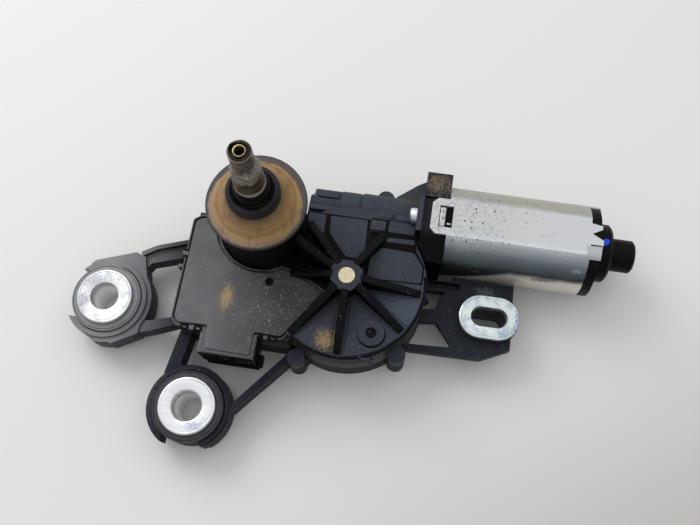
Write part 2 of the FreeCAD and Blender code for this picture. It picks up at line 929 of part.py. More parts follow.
# Rubber grommets and steel sleeves of the two round bushes
rubber_low = size("rubber_low")
rubber_top = size("rubber_top")
sleeve_low = size("sleeve_low")
tube = size("sleeve_tube_radius")
for name, x, y in (("upper", upper_x, upper_y), ("lower", lower_x, lower_y)):
    node(f"grommet_{name}", turned(
        [
            (tube + press, rubber_low),
            (size("rubber_radius") - 1, rubber_low),
            (size("rubber_radius"), rubber_low + 1),
            (size("rubber_radius"), web_low - gap / 3),
            (size("groove_radius"), web_low - gap / 3),
            (size("groove_radius"), web_high + gap / 3),
            (size("rubber_radius"), web_high + gap / 3),
            (size("rubber_radius"), rubber_top - 1.5),
            (size("rubber_radius") - 1.5, rubber_top),
            (tube + press, rubber_top),
        ],
        x, y,
    ))
    node(f"sleeve_{name}", turned(
        [
            (size("sleeve_bore"), sleeve_low),
            (tube, sleeve_low),
            (tube, rubber_top),
            (size("sleeve_flange_radius"), rubber_top),
            (size("sleeve_flange_radius"), rubber_top + size("sleeve_flange")),
            (size("sleeve_bore"), rubber_top + size("sleeve_flange")),
        ],
        x, y,
    ))

# Slotted bush: the same pieces, stretched along X
slot_tube = size("slotted_tube_half_width")
node("grommet_slotted", cut(
    fuse(
        stadium(slot_reach, slot_tube + 2, bracket_low - 2, rubber_top, slot_x, slot_y),
        stadium(slot_reach, slot_tube + 3.4, rubber_low, bracket_low - gap / 3, slot_x, slot_y),
        stadium(slot_reach, slot_tube + 3.4, arm_top + gap / 3, rubber_top, slot_x, slot_y),
    ),
    stadium(slot_reach, slot_tube + press, rubber_low - 1, rubber_top + 1, slot_x, slot_y),
))
node("sleeve_slotted", cut(
    fuse(
        stadium(slot_reach, slot_tube, sleeve_low, rubber_top, slot_x, slot_y),
        stadium(
            slot_reach, size("slotted_flange_half_width"), rubber_top,
            rubber_top + size("sleeve_flange"), slot_x, slot_y,
        ),
    ),
    stadium(
        slot_reach, size("slot_half_width"), sleeve_low - 1,
        rubber_top + size("sleeve_flange") + 1, slot_x, slot_y,
    ),
))

# Electronics: cover, board, its parts, connector and pins
tower_hole = cylinder(size("tower_foot_radius") + gap, disc_top + 1)
cover_sheet = cut(
    slab(tray_outline(0), cover_low, disc_top),
    cylinder(disc_radius + gap, disc_top + 1, wheel_x, wheel_y),
    tower_hole,
    box(tray_right - 14, wheel_x + 1, tray_top - 20, tray_top + 1, 0, disc_top + 1),
)
lip_inside = cut(
    slab(tray_outline(wall + play), cover_low - size("cover_lip"), cover_low + 0.5),
    slab(tray_outline(wall + 1.2), cover_low - size("cover_lip") - 1, cover_low + 1),
)
lip = cut(
    lip_inside,
    cylinder(disc_radius + 1, disc_top + 1, wheel_x, wheel_y),
    cylinder(size("tower_foot_radius") + 1, disc_top + 1),
    cylinder(step + gap, disc_top + 1, corner_x, corner_y),
    box(tray_left + 8, connector_right + 1, tray_bottom, tray_bottom + 6, 0, disc_top + 1),
    box(tray_right - 14, wheel_x + 1, tray_top - 20, tray_top + 1, 0, disc_top + 1),
)
dimple = cylinder(1.1, 1, 4.6, -22.8, disc_top - 0.8)
node("electronics_cover", cut(fuse(cover_sheet, lip), dimple))

board_blank = slab(tray_outline(wall + gap * 2), board_z, board_top)
node("circuit_board", cut(
    board_blank,
    cylinder(disc_radius + gap * 2, disc_top, wheel_x, wheel_y),
    cylinder(size("tower_foot_radius") + gap, disc_top),
    cylinder(step + gap, disc_top, corner_x, corner_y),
    box(tray_right - 14 - gap, wheel_x + 1, tray_top - 20 - gap, tray_top + 1, 0, disc_top + 1),
))
relay_x = tray_left + 5
relay_y = tray_bottom + 13
node("relay", box(
    relay_x, relay_x + size("relay_width"), relay_y, relay_y + size("relay_length"),
    board_top, board_top + size("relay_height"),
))
node("capacitor", cylinder(
    size("capacitor_radius"), size("capacitor_height"),
    wheel_x - disc_radius - size("capacitor_radius") - 4.1, tray_bottom + 18, board_top,
))
node("choke", cylinder(
    size("choke_radius"), size("choke_length"), tray_left + 19, tray_bottom + 9,
    board_top + size("choke_radius"), along_motor=True,
))

connector_front = size("connector_front")
connector_low = size("connector_low")
connector_wall = size("connector_wall")
socket_back = tray_bottom - size("connector_back_wall") - gap
shroud = cut(
    box(connector_left, connector_right, connector_front, tray_bottom, connector_low, disc_top),
    box(
        connector_left + connector_wall, connector_right - connector_wall,
        connector_front - 1, socket_back, connector_low + connector_wall,
        disc_top - connector_wall,
    ),
)
node("connector_shroud", cut(shroud, *pin_holes))
node("connector_pins", fuse(*(
    fuse(
        box(x - pin_half, x + pin_half, pin_front, pin_back, pin_z - pin_half, pin_z + pin_half),
        box(
            x - pin_half, x + pin_half, pin_back - pin_half * 2, pin_back,
            board_top, pin_z + pin_half,
        ),
    )
    for x in pin_places
)))


# Gear teeth
def flank(pitch_radius, radius, pressure):
    """How far an involute flank has turned, in radians, between the pitch circle and a radius."""
    base = pitch_radius * math.cos(pressure)
    angle = math.acos(min(1.0, base / radius))
    return (math.tan(pressure) - pressure) - (math.tan(angle) - angle)


def tooth_points(pitch_radius, module, play_width, root, tip):
    """One tooth's outline about the X axis, from the root, over the tip, to the root."""
    pressure = math.radians(20)
    half = (math.pi * module / 2 - play_width) / 2 / pitch_radius
    base = pitch_radius * math.cos(pressure)
    start = max(root + module * 0.1, base * 1.001)
    radii = [start + (tip - start) * part / 3 for part in range(4)]
    upper = [(radius, half + flank(pitch_radius, radius, pressure)) for radius in radii]
    foot = (root - module * 0.4, upper[0][1])
    whole = [(foot[0], -foot[1])] + [(radius, -angle) for radius, angle in upper]
    whole += [(radius, angle) for radius, angle in reversed(upper)] + [foot]
    return whole


def tooth_prism(points, turn, low, height, slant):
    """One straight tooth at an angle, leaning by the slant as it rises."""
    corners = [
        FreeCAD.Vector(radius * math.cos(angle + turn), radius * math.sin(angle + turn), low)
        for radius, angle in points
    ]
    lean = FreeCAD.Vector(-math.sin(turn) * slant, math.cos(turn) * slant, 1) * height
    shift = FreeCAD.Vector(math.sin(turn), -math.cos(turn), 0) * (slant * height / 2)
    face = Part.Face(Part.makePolygon([corner + shift for corner in corners + corners[:1]]))
    return face.extrude(lean)


def toothed_ring(root, low, height, prisms):
    """A round blank with its teeth."""
    blank = Part.makeCylinder(root, height, FreeCAD.Vector(0, 0, low))
    return blank.multiFuse(prisms).removeSplitter()


# Worm wheel, on its axle
module = size("gear_module").value
tooth_play = size("tooth_play").value
teeth = int(size("wheel_teeth").value)
lead = math.pi * module
pitch_radius = wheel_radius.value
wheel_low = size("wheel_low")
wheel_face = size("wheel_face")
wheel_root = pitch_radius - 1.25 * module
lead_slant = lead / (2 * math.pi * size("worm_pitch_radius").value)
wheel_tooth = tooth_points(pitch_radius, module, tooth_play, wheel_root, pitch_radius + module)
wheel_teeth = [
    tooth_prism(
        wheel_tooth, math.pi / 2 + 2 * math.pi * index / teeth, wheel_low.value,
        wheel_face.value, lead_slant,
    )
    for index in range(teeth)
]
wheel_blank = toothed_ring(wheel_root, wheel_low.value, wheel_face.value, wheel_teeth)
recess = size("wheel_recess")
rim_inside = wheel_root - size("wheel_rim").value
for low in (wheel_low.value - 1, (wheel_low + wheel_face - recess).value):
    ring = Part.makeCylinder(rim_inside, recess.value + 1, FreeCAD.Vector(0, 0, low))
    middle = Part.makeCylinder(
        (size("crank_radius") + size("crank_pin_radius") + 2).value, recess.value + 1,
        FreeCAD.Vector(0, 0, low),
    )
    wheel_blank = wheel_blank.cut(ring.cut(middle))
axle_hole = Part.makeCylinder((size("axle_radius") + play).value, 60)
motor_direction = math.atan2(wheel_y.value, wheel_x.value)
crank_turn = motor_direction + math.pi
crank_radius = size("crank_radius").value
crank_spot = FreeCAD.Vector(
    crank_radius * math.cos(crank_turn), crank_radius * math.sin(crank_turn), 0,
)
crank_pin_low = size("link_low") + size("link_thickness") + gap
crank_hole = Part.makeCylinder(
    (size("crank_pin_radius") + press).value, size("crank_pin_depth").value + 1,
    crank_spot + FreeCAD.Vector(0, 0, wheel_low.value - 1),
)
worm_wheel = built(wheel_blank.cut(axle_hole).cut(crank_hole))
node("worm_wheel", place(worm_wheel, wheel_x, wheel_y, 0))
node("crank_pin", cylinder(
    size("crank_pin_radius"), wheel_low + size("crank_pin_depth") - crank_pin_low,
    wheel_x + crank_spot.x, wheel_y + crank_spot.y, crank_pin_low,
))
axle_low = size("axle_low")
clip_low = axle_low + 0.4
clip_groove = size("axle_radius") - 0.6
clip_top = clip_low + size("clip_thickness")
node("wheel_axle", turned(
    [
        (0, axle_low),
        (size("axle_radius"), axle_low),
        (size("axle_radius"), clip_low),
        (clip_groove, clip_low),
        (clip_groove, clip_top),
        (size("axle_radius"), clip_top),
        (size("axle_radius"), size("hub_top")),
        (0, size("hub_top")),
    ],
    wheel_x, wheel_y,
))
node("axle_clip", cut(
    cylinder(size("clip_radius"), size("clip_thickness"), wheel_x, wheel_y, clip_low),
    cylinder(clip_groove + press, parting, wheel_x, wheel_y),
    box(
        wheel_x, wheel_x + size("clip_radius") + 1, wheel_y - 1.5, wheel_y + 1.5,
        clip_low - 1, parting,
    ),
))

# Guide link from the output shaft to the rod's pivot. At rest it stands to one side of the
# line between the two axes, and at the far end of the sweep as far to the other.
half_sweep = math.asin(crank_radius / size("link_length").value)
side_turn = motor_direction - math.pi / 2
pivot_turn = side_turn - half_sweep
pivot_x = size("link_length") * math.cos(pivot_turn)
pivot_y = size("link_length") * math.sin(pivot_turn)
link_low = size("link_low")
link_top = link_low + size("link_thickness")
rod_low = link_top + gap
rod_top = rod_low + size("rod_thickness")
link_across = FreeCAD.Vector(-math.sin(pivot_turn), math.cos(pivot_turn), 0) * 4.2
link_bar = slab(
    [
        (link_across.x, link_across.y),
        (pivot_x + link_across.x, pivot_y + link_across.y),
        (pivot_x - link_across.x, pivot_y - link_across.y),
        (-link_across.x, -link_across.y),
    ],
    link_low, link_top,
)
node("guide_link", cut(
    fuse(
        link_bar,
        cylinder(size("shaft_foot_radius") + 2.6, size("link_thickness"), 0, 0, link_low),
        cylinder(size("link_pin_radius") + 2.2, size("link_thickness"), pivot_x, pivot_y, link_low),
        cylinder(size("link_pin_radius"), rod_top - link_low + gap, pivot_x, pivot_y, link_low),
    ),
    cylinder(size("shaft_foot_radius") + play, link_top + 1),
))

# Sector rod: a toothed sector about the pivot, a bar and an opening for the crank pin
sector_module = size("sector_module").value
sector_teeth = int(size("sector_teeth").value)
pinion_teeth = int(size("pinion_teeth").value)
sector_pitch = sector_module * sector_teeth / 2
pinion_pitch = sector_module * pinion_teeth / 2
sector_root = sector_pitch - 1.2 * sector_module
sector_tooth = tooth_points(
    sector_pitch, sector_module, tooth_play, sector_root, sector_pitch + 0.85 * sector_module,
)
mesh_turn = pivot_turn + math.pi
tooth_step = 2 * math.pi / sector_teeth
sector_steps = range(0, int(2 * half_sweep / tooth_step) + 2)
pivot = FreeCAD.Vector(pivot_x.value, pivot_y.value, 0)
sector_prisms = [
    tooth_prism(sector_tooth, mesh_turn + tooth_step * index, rod_low.value,
                size("rod_thickness").value, 0)
    for index in sector_steps
]
first_edge = mesh_turn - tooth_step * 0.6
last_edge = mesh_turn + tooth_step * (sector_steps[-1] + 0.6)
edge_points = [FreeCAD.Vector(0, 0, rod_low.value)]
edge_points += [
    FreeCAD.Vector(sector_root * math.cos(turn), sector_root * math.sin(turn), rod_low.value)
    for turn in (first_edge, last_edge)
]
middle_turn = (first_edge + last_edge) / 2
arc_middle = FreeCAD.Vector(
    sector_root * math.cos(middle_turn), sector_root * math.sin(middle_turn), rod_low.value,
)
sector_wire = Part.Wire([
    Part.LineSegment(edge_points[0], edge_points[1]).toShape(),
    Part.Arc(edge_points[1], arc_middle, edge_points[2]).toShape(),
    Part.LineSegment(edge_points[2], edge_points[0]).toShape(),
])
rise = FreeCAD.Vector(0, 0, size("rod_thickness").value)
sector_shape = Part.Face(sector_wire).extrude(rise).multiFuse(sector_prisms).removeSplitter()
sector = place(built(sector_shape), pivot_x, pivot_y, 0)
crank_x = wheel_x + crank_spot.x
crank_y = wheel_y + crank_spot.y
rod_angle = math.atan2(crank_y.value - pivot.y, crank_x.value - pivot.x)
half_bar = size("rod_width") / 2
bar_across_x = half_bar * math.sin(rod_angle)
bar_across_y = half_bar * math.cos(rod_angle)
rod_bar = slab(
    [
        (pivot_x - bar_across_x, pivot_y + bar_across_y),
        (pivot_x + bar_across_x, pivot_y - bar_across_y),
        (crank_x + bar_across_x, crank_y - bar_across_y),
        (crank_x - bar_across_x, crank_y + bar_across_y),
    ],
    rod_low, rod_top,
)
# The pin's path within the rod: it swings out to one side and back, and strays a little along
side_sag = crank_radius - size("link_length").value * (1 - math.cos(half_sweep))
stray = 0.195 * crank_radius
pin_space = (size("crank_pin_radius") + size("rod_opening_play")).value


def opening_outline(margin):
    """The opening for the crank pin, in the part's frame, grown by the margin."""
    along = FreeCAD.Vector(math.cos(motor_direction), math.sin(motor_direction), 0)
    aside = FreeCAD.Vector(math.cos(side_turn), math.sin(side_turn), 0)
    centre = FreeCAD.Vector(crank_x.value, crank_y.value, 0)
    reach = stray + pin_space + margin
    low = -pin_space - margin
    high = side_sag + pin_space + margin
    return [
        centre + along * first + aside * second
        for first, second in ((-reach, low), (reach, low), (reach, high), (-reach, high))
    ]


rod_end = slab([(point.x, point.y) for point in opening_outline(size("rod_rim").value)],
               rod_low, rod_top)
rod_opening = slab([(point.x, point.y) for point in opening_outline(0)], rod_low - 1, rod_top + 1)
node("sector_rod", cut(
    fuse(
        sector, rod_bar, rod_end,
        cylinder(size("rod_boss_radius"), size("rod_thickness"), pivot_x, pivot_y, rod_low),
    ),
    cylinder(size("link_pin_radius") + play, parting, pivot_x, pivot_y),
    rod_opening,
))

# Output shaft with its pinion, its bushes and what holds it in
pinion_tooth = tooth_points(
    pinion_pitch, sector_module, tooth_play, pinion_pitch - 1.2 * sector_module,
    pinion_pitch + 0.85 * sector_module,
)
pinion_prisms = [
    tooth_prism(pinion_tooth, pivot_turn + 2 * math.pi * (index + 0.5) / pinion_teeth,
                rod_low.value, size("rod_thickness").value, 0)
    for index in range(pinion_teeth)
]
pinion_shape = toothed_ring(
    pinion_pitch - 1.2 * sector_module, rod_low.value, size("rod_thickness").value, pinion_prisms,
)
shaft_foot = size("shaft_foot_radius")
pinion_hole = Part.makeCylinder((shaft_foot + press).value, 30)
node("output_pinion", place(built(pinion_shape.cut(pinion_hole)), 0, 0, 0))
shaft_radius = size("shaft_radius")
shoulder_low = rod_top + 0.05
collar_top = tower_top + size("collar_height")
washer_low = collar_top + play * 4
clip_seat = washer_low + size("stop_washer_height")
clip_end = clip_seat + size("circlip_height")
clip_neck = shaft_radius - size("circlip_groove")
cone_low = clip_end + size("shaft_cone_gap")
thread_low = cone_low + size("shaft_cone_length")
thread_radius = size("thread_radius")
shaft_tip = thread_low + size("thread_length")
pitch = size("thread_pitch")
thread_count = int((shaft_tip - thread_low - 1).value / pitch.value)
thread_root = thread_radius - pitch * 0.55
land = size("thread_land")
thread_slope = (pitch - land) / 2
thread_points = []
for index in range(thread_count):
    low = thread_low + 0.6 + pitch * index
    crest = low + thread_slope
    thread_points += [(thread_root, low), (thread_radius, crest), (thread_radius, crest + land)]
node("output_shaft", turned([
    (0, size("shaft_low")),
    (shaft_foot, size("shaft_low")),
    (shaft_foot, shoulder_low),
    (size("shaft_shoulder_radius"), shoulder_low),
    (size("shaft_shoulder_radius"), parting - play),
    (shaft_radius, parting - play),
    (shaft_radius, clip_seat),
    (clip_neck, clip_seat),
    (clip_neck, clip_end),
    (shaft_radius, clip_end),
    (size("shaft_cone_radius"), cone_low),
    (size("shaft_cone_top_radius"), thread_low),
    *thread_points,
    (thread_root, shaft_tip - 0.5),
    (thread_root - 0.4, shaft_tip),
    (size("tip_hole_radius"), shaft_tip),
    (size("tip_hole_radius"), shaft_tip - size("tip_hole_depth")),
    (0, shaft_tip - size("tip_hole_depth") - 0.8),
]))
node("stop_washer", turned([
    (shaft_radius + play, washer_low),
    (size("stop_washer_radius"), washer_low),
    (size("stop_washer_radius"), clip_seat),
    (shaft_radius + play, clip_seat),
]))
node("circlip", turned([
    (clip_neck + press, clip_seat),
    (size("stop_washer_radius") - 0.6, clip_seat),
    (size("stop_washer_radius") - 0.6, clip_end),
    (clip_neck + press, clip_end),
]))
bush_bore = shaft_radius + play
bush_length = size("output_bush_length")
bush_radius = size("output_bush_radius")
for name, low in (("lower", parting), ("upper", tower_top - bush_length)):
    node(f"output_bush_{name}", turned([
        (bush_bore, low),
        (bush_radius, low),
        (bush_radius, low + bush_length),
        (bush_bore, low + bush_length),
    ]))

# Seal on the tower: a wide rubber umbrella and a dark collar
seal_inside = size("tower_top_radius") + press
rim_z = tower_top - size("seal_rim_drop")
neck_z = tower_top + size("seal_neck_rise")
skin = size("seal_skin")
node("shaft_seal", turned([
    (seal_inside, tower_top - size("seal_grip")),
    (seal_inside + skin, tower_top - size("seal_grip")),
    (seal_inside + skin, neck_z - skin * 1.6),
    (size("seal_shoulder_radius"), rim_z - skin),
    (size("seal_rim_radius") - 1, rim_z - size("seal_rim_thickness")),
    (size("seal_rim_radius"), rim_z - size("seal_rim_thickness") + 0.6),
    (size("seal_rim_radius"), rim_z),
    (size("seal_shoulder_radius"), rim_z + 0.7),
    (size("seal_neck_radius"), neck_z),
    (seal_inside, neck_z),
]))
node("seal_collar", turned([
    (size("collar_bore"), tower_top),
    (size("tower_top_radius"), tower_top),
    (size("tower_top_radius"), neck_z),
    (size("seal_neck_radius"), neck_z),
    (size("seal_neck_radius"), collar_top - 1.4),
    (size("seal_neck_radius") - 1.4, collar_top),
    (size("collar_bore"), collar_top),
]))

# Motor can: a tube with a flat above and below, an ear with a window and crimped fingers
can_start = tunnel_right + size("flange_thickness")
can_end = can_start + size("can_length")
can_radius = size("can_radius")
can_flat = size("can_flat")
can_wall = size("can_wall")


def flat_tube(radius, flat, start, end):
    """A round bar along the motor, cut flat above and below."""
    bar = cylinder(radius, end - start, start, motor_y, motor_z, along_motor=True)
    bounds = box(
        start, end, motor_y - radius - 1, motor_y + radius + 1, motor_z - flat, motor_z + flat,
    )
    return common(bar, bounds)


ear_top = motor_z + can_flat
half_ear = size("tab_half_width")
ear_chamfer = size("tab_chamfer")
ear_start = can_start - size("tab_length")
ear = slab(
    [
        (ear_start, motor_y - half_ear + ear_chamfer),
        (ear_start, motor_y + half_ear - ear_chamfer),
        (ear_start + ear_chamfer, motor_y + half_ear),
        (can_start + 1, motor_y + half_ear),
        (can_start + 1, motor_y - half_ear),
        (ear_start + ear_chamfer, motor_y - half_ear),
    ],
    ear_top - can_wall, ear_top,
)
window_start = can_start - size("window_setback")
window = box(
    window_start, window_start + size("window_length"),
    motor_y - size("window_half_width"), motor_y + size("window_half_width"),
    ear_top - can_wall - 1, ear_top + 1,
)
finger_turns = (22, 130, 190, 240, 300)


def finger(turn, margin):
    """One crimped finger at an angle about the motor's axis, grown by the margin."""
    half = size("finger_width").value / 2 + margin
    outer = can_radius.value + margin
    inner = (can_radius - can_wall).value - margin
    strip = Part.makeBox(
        size("finger_length").value + margin + 1, half * 2, outer - inner + 3,
        FreeCAD.Vector(can_end.value - 1, -half, inner - 1.5),
    )
    ring = Part.makeCylinder(
        outer, size("finger_length").value + margin + 1,
        FreeCAD.Vector(can_end.value - 1, 0, 0), FreeCAD.Vector(1, 0, 0),
    )
    hollow = Part.makeCylinder(
        inner, size("finger_length").value + margin + 1,
        FreeCAD.Vector(can_end.value - 1, 0, 0), FreeCAD.Vector(1, 0, 0),
    )
    strip.rotate(FreeCAD.Vector(0, 0, 0), FreeCAD.Vector(1, 0, 0), turn)
    return strip.common(ring.cut(hollow))


def crimp(low, high, margin):
    """The forked tab that holds the cap at the can's upper flat, grown by the margin."""
    reach = can_end + size("crimp_reach") + margin
    front = motor_y - size("crimp_front") - margin
    back = motor_y + size("crimp_back") + margin
    return slab(
        [
            (can_end - 1, front),
            (reach, front),
            (reach, front + 2 + margin),
            (can_end + 0.4 + margin, motor_y + 1.2),
            (reach - 0.6, back - 2.2 - margin),
            (reach - 0.6, back - 0.8),
            (can_end - 1, back),
        ],
        low, high,
    )


fingers = [place(built(finger(turn, 0)), 0, motor_y, motor_z) for turn in finger_turns]
fingers.append(crimp(ear_top - can_wall, ear_top, 0))
node("motor_can", cut(
    fuse(flat_tube(can_radius, can_flat, can_start, can_end), ear, *fingers),
    flat_tube(can_radius - can_wall, can_flat - can_wall, can_start - 1, can_end + 6),
    window,
))

# End cap: a flange in the can's end, a dome and a bearing boss
shaft_end = can_end + size("shaft_past_can")
rear_bearing_start = shaft_end - size("bearing_length")
finger_slots = [
    place(built(finger(turn, gap.value)), 0, motor_y, motor_z) for turn in finger_turns
]
finger_slots.append(crimp(ear_top - can_wall - gap, ear_top + 1, gap))
cap_length = size("cap_length")
dome_length = size("cap_dome_length")
cap_wall = size("cap_wall")
dome_radius = size("cap_dome_radius")
cap_shell = turned(
    [
        (0, 0),
        (can_radius, 0),
        (can_radius, size("cap_flange")),
        (dome_radius, size("cap_flange") + 1),
        (dome_radius, dome_length - 1),
        (dome_radius - 1, dome_length),
        (size("cap_boss_radius"), dome_length),
        (size("cap_boss_radius"), cap_length - 0.8),
        (size("cap_boss_radius") - 0.8, cap_length),
        (0, cap_length),
    ],
    can_end, motor_y, motor_z, along_motor=True,
)
cap_bounds = box(
    can_end, can_end + cap_length, motor_y - can_radius - 1, motor_y + can_radius + 1,
    motor_z - can_flat, motor_z + can_flat,
)
bearing_radius = size("bearing_radius")
cap_seat = cylinder(
    bearing_radius, size("bearing_length") + 2.4, rear_bearing_start, motor_y, motor_z,
    along_motor=True,
)
cap_room = cylinder(
    dome_radius - cap_wall, rear_bearing_start - can_end + 1, can_end - 1, motor_y, motor_z,
    along_motor=True,
)
node("motor_end_cap", cut(common(cap_shell, cap_bounds), cap_seat, cap_room, *finger_slots))

# Magnets against the can's round sides
magnet_start = can_start + size("magnet_setback")
magnet_length = size("magnet_length")
magnet_outside = can_radius - can_wall - play
magnet_inside = magnet_outside - size("magnet_thickness")


def magnet(turn):
    """A curved magnet about the motor's axis, its middle at an angle."""
    span = size("magnet_span").value
    start = FreeCAD.Vector(magnet_start.value, 0, 0)
    along = FreeCAD.Vector(1, 0, 0)
    outer = Part.makeCylinder(magnet_outside.value, magnet_length.value, start, along, span)
    inner = Part.makeCylinder(magnet_inside.value, magnet_length.value, start, along, span)
    shell = outer.cut(inner).Solids[0]
    middle = shell.CenterOfMass
    now = math.degrees(math.atan2(middle.z, middle.y))
    shell.rotate(FreeCAD.Vector(0, 0, 0), along, turn - now)
    return shell


for name, turn in (("back", 0), ("front", 180)):
    node(f"magnet_{name}", place(built(magnet(turn)), 0, motor_y, motor_z))

# Armature: shaft with its worm, laminated core, windings and commutator
core_radius = magnet_inside - size("air_gap")
core_start = can_start + size("core_setback")
core_length = size("core_length")
shaft_r = size("armature_shaft_radius")
worm_tip = size("worm_pitch_radius").value + module
worm_root = size("worm_pitch_radius").value - 1.2 * module
turns = int(size("worm_turns").value)
worm_start = wheel_x.value - ((turns - 1) // 2 + 0.5) * lead


def worm_thread():
    """The worm's single thread, a right-handed helix along the motor's axis."""
    slope = math.tan(math.radians(20))
    half_pitch = (math.pi * module / 2 - tooth_play) / 2
    foot = worm_root - 0.3 * module
    half_tip = half_pitch - slope * module
    half_foot = half_pitch + slope * (size("worm_pitch_radius").value - foot)
    corners = [
        FreeCAD.Vector(foot, 0, -half_foot),
        FreeCAD.Vector(worm_tip, 0, -half_tip),
        FreeCAD.Vector(worm_tip, 0, half_tip),
        FreeCAD.Vector(foot, 0, half_foot),
    ]
    profile = Part.makePolygon(corners + corners[:1])
    path = Part.makeHelix(lead, turns * lead, size("worm_pitch_radius").value)
    thread = Part.Wire(path).makePipeShell([profile], True, True)
    core = Part.makeCylinder(worm_root, (turns + 1) * lead, FreeCAD.Vector(0, 0, -lead / 2))
    return core.fuse(thread)


facing_wheel = FreeCAD.Matrix(
    0, 0, 1, worm_start,
    -1, 0, 0, motor_y.value,
    0, -1, 0, motor_z.value,
    0, 0, 0, 1,
)
worm = built(worm_thread())
worm.Placement = FreeCAD.Placement(facing_wheel)
node("armature_shaft", fuse(
    worm,
    cylinder(shaft_r, shaft_end - shaft_start, shaft_start, motor_y, motor_z, along_motor=True),
))
shaft_space = cylinder(
    shaft_r + press, shaft_end, 0, motor_y, motor_z, along_motor=True,
)
pole_count = int(size("pole_count").value)


def core_slots():
    """The slots between the core's poles."""
    half = size("pole_slot").value / 2
    slots = []
    for index in range(pole_count):
        neck = Part.makeBox(
            core_length.value + 2, half, core_radius.value,
            FreeCAD.Vector(core_start.value - 1, -half / 2, core_radius.value * 0.6),
        )
        belly = Part.makeCylinder(
            half * 1.6, core_length.value + 2,
            FreeCAD.Vector(core_start.value - 1, 0, core_radius.value * 0.7),
            FreeCAD.Vector(1, 0, 0),
        )
        slot = neck.fuse(belly)
        slot.rotate(FreeCAD.Vector(0, 0, 0), FreeCAD.Vector(1, 0, 0), 360 * index / pole_count)
        slots.append(slot)
    return slots[0].multiFuse(slots[1:])


slots_item = place(built(core_slots()), 0, motor_y, motor_z)
node("armature_core", cut(
    cylinder(core_radius, core_length, core_start, motor_y, motor_z, along_motor=True),
    slots_item, shaft_space,
))
overhang = size("winding_overhang")


def winding_head(start, end):
    """The bundle of wire that stands out of one end of the core."""
    return turned(
        [
            (shaft_r + 1, 0),
            (core_radius - 2.4, 0),
            (core_radius - 1.6, (end - start) / 2),
            (core_radius - 3.4, end - start),
            (shaft_r + 1, end - start),
        ],
        start, motor_y, motor_z, along_motor=True,
    )


node("winding_front", winding_head(core_start - overhang, core_start))
node("winding_rear", winding_head(core_start + core_length, core_start + core_length + overhang))
commutator_start = can_start - size("commutator_setback")
commutator_end = commutator_start + size("commutator_length")
node("commutator", cut(
    cylinder(
        size("commutator_radius"), commutator_end - commutator_start, commutator_start,
        motor_y, motor_z, along_motor=True,
    ),
    shaft_space,
))

# Bearings and the ball that takes the worm's thrust
front_bearing = tunnel_right - size("front_bearing_setback")
tunnel_bore = size("tunnel_bore")
node("front_bearing", cut(
    cylinder(
        tunnel_bore - press, size("bearing_length"), front_bearing, motor_y, motor_z,
        along_motor=True,
    ),
    cylinder(shaft_r + play, shaft_end, 0, motor_y, motor_z, along_motor=True),
))
node("rear_bearing", cut(
    cylinder(
        bearing_radius - press, size("bearing_length"), rear_bearing_start, motor_y, motor_z,
        along_motor=True,
    ),
    cylinder(shaft_r + play, shaft_end + 1, 0, motor_y, motor_z, along_motor=True),
))
ball = document.addObject("Part::Sphere", "ball")
bind(ball, "Radius", size("ball_radius"))
ball_x = shaft_start - size("ball_radius") - play
node("thrust_bush", cut(
    cylinder(
        tunnel_bore - press, shaft_start + size("thrust_bush_grip") - bore_start, bore_start,
        motor_y, motor_z, along_motor=True,
    ),
    cylinder(shaft_r + play, shaft_end, 0, motor_y, motor_z, along_motor=True),
))
place(ball, ball_x, motor_y, motor_z)
node("thrust_ball", ball)

# Motor flange, brush holder, brushes and springs
half_flange = size("flange_half_width")
flange_top = size("flange_top")
flange_low = size("flange_low")
flange_block = slab(
    [
        (tunnel_right, motor_y - half_flange),
        (tunnel_right, motor_y + half_flange),
        (can_start, motor_y + half_flange),
        (can_start, motor_y - half_flange),
    ],
    flange_low, flange_top,
)
flange_corner = box(
    tunnel_right, can_start - 3.2, motor_y + half_ear + gap, motor_y + half_flange - 2,
    flange_top - 1, flange_top + 1.4,
)
cavity_flat = size("flange_cavity_flat")
flange_room = flat_tube(size("flange_cavity"), cavity_flat, tunnel_right + wall, can_start + 1)
flange_bore = cylinder(shaft_r + 1, 20, tunnel_right - 1, motor_y, motor_z, along_motor=True)
flange_screw_holes = [
    cylinder(
        size("motor_screw_radius") + press, size("motor_screw_length"), tunnel_right - 1,
        motor_y, z, along_motor=True,
    )
    for z in motor_screw_z
]
node("motor_flange", cut(
    fuse(flange_block, flange_corner), flange_room, flange_bore, *flange_screw_holes,
    cylinder(disc_radius + gap, disc_top + flange_top, wheel_x, wheel_y),
))
holder_start = tunnel_right + size("holder_setback")
holder_end = holder_start + size("holder_thickness")
brush_half = size("brush_width") / 2
brush_low = size("commutator_radius") + play
brush_high = brush_low + size("brush_length")
brush_x = commutator_start + size("commutator_length") / 2
guide_half = brush_half + 0.8


def across_boxes(half, low, high, low_x, high_x):
    """A pair of blocks on both sides of the motor's axis, along Y."""
    return [
        box(low_x, high_x, motor_y + low, motor_y + high, motor_z - half, motor_z + half),
        box(low_x, high_x, motor_y - high, motor_y - low, motor_z - half, motor_z + half),
    ]


guide_blocks = across_boxes(
    guide_half, size("commutator_radius") + 0.6, size("flange_cavity") - gap,
    holder_end - 0.2, brush_x + guide_half,
)
guide_rooms = across_boxes(
    brush_half + press, size("commutator_radius"), size("flange_cavity") - gap - 0.8,
    brush_x - brush_half - press, brush_x + brush_half + press,
)
node("brush_holder", cut(
    fuse(
        flat_tube(size("flange_cavity") - press, cavity_flat - press, holder_start, holder_end),
        *guide_blocks,
    ),
    cylinder(
        size("commutator_radius") + 0.6, 30, holder_start - 1, motor_y, motor_z,
        along_motor=True,
    ),
    *guide_rooms,
))
brush_boxes = across_boxes(
    brush_half, brush_low, brush_high, brush_x - brush_half, brush_x + brush_half,
)
node("brushes", fuse(*brush_boxes))


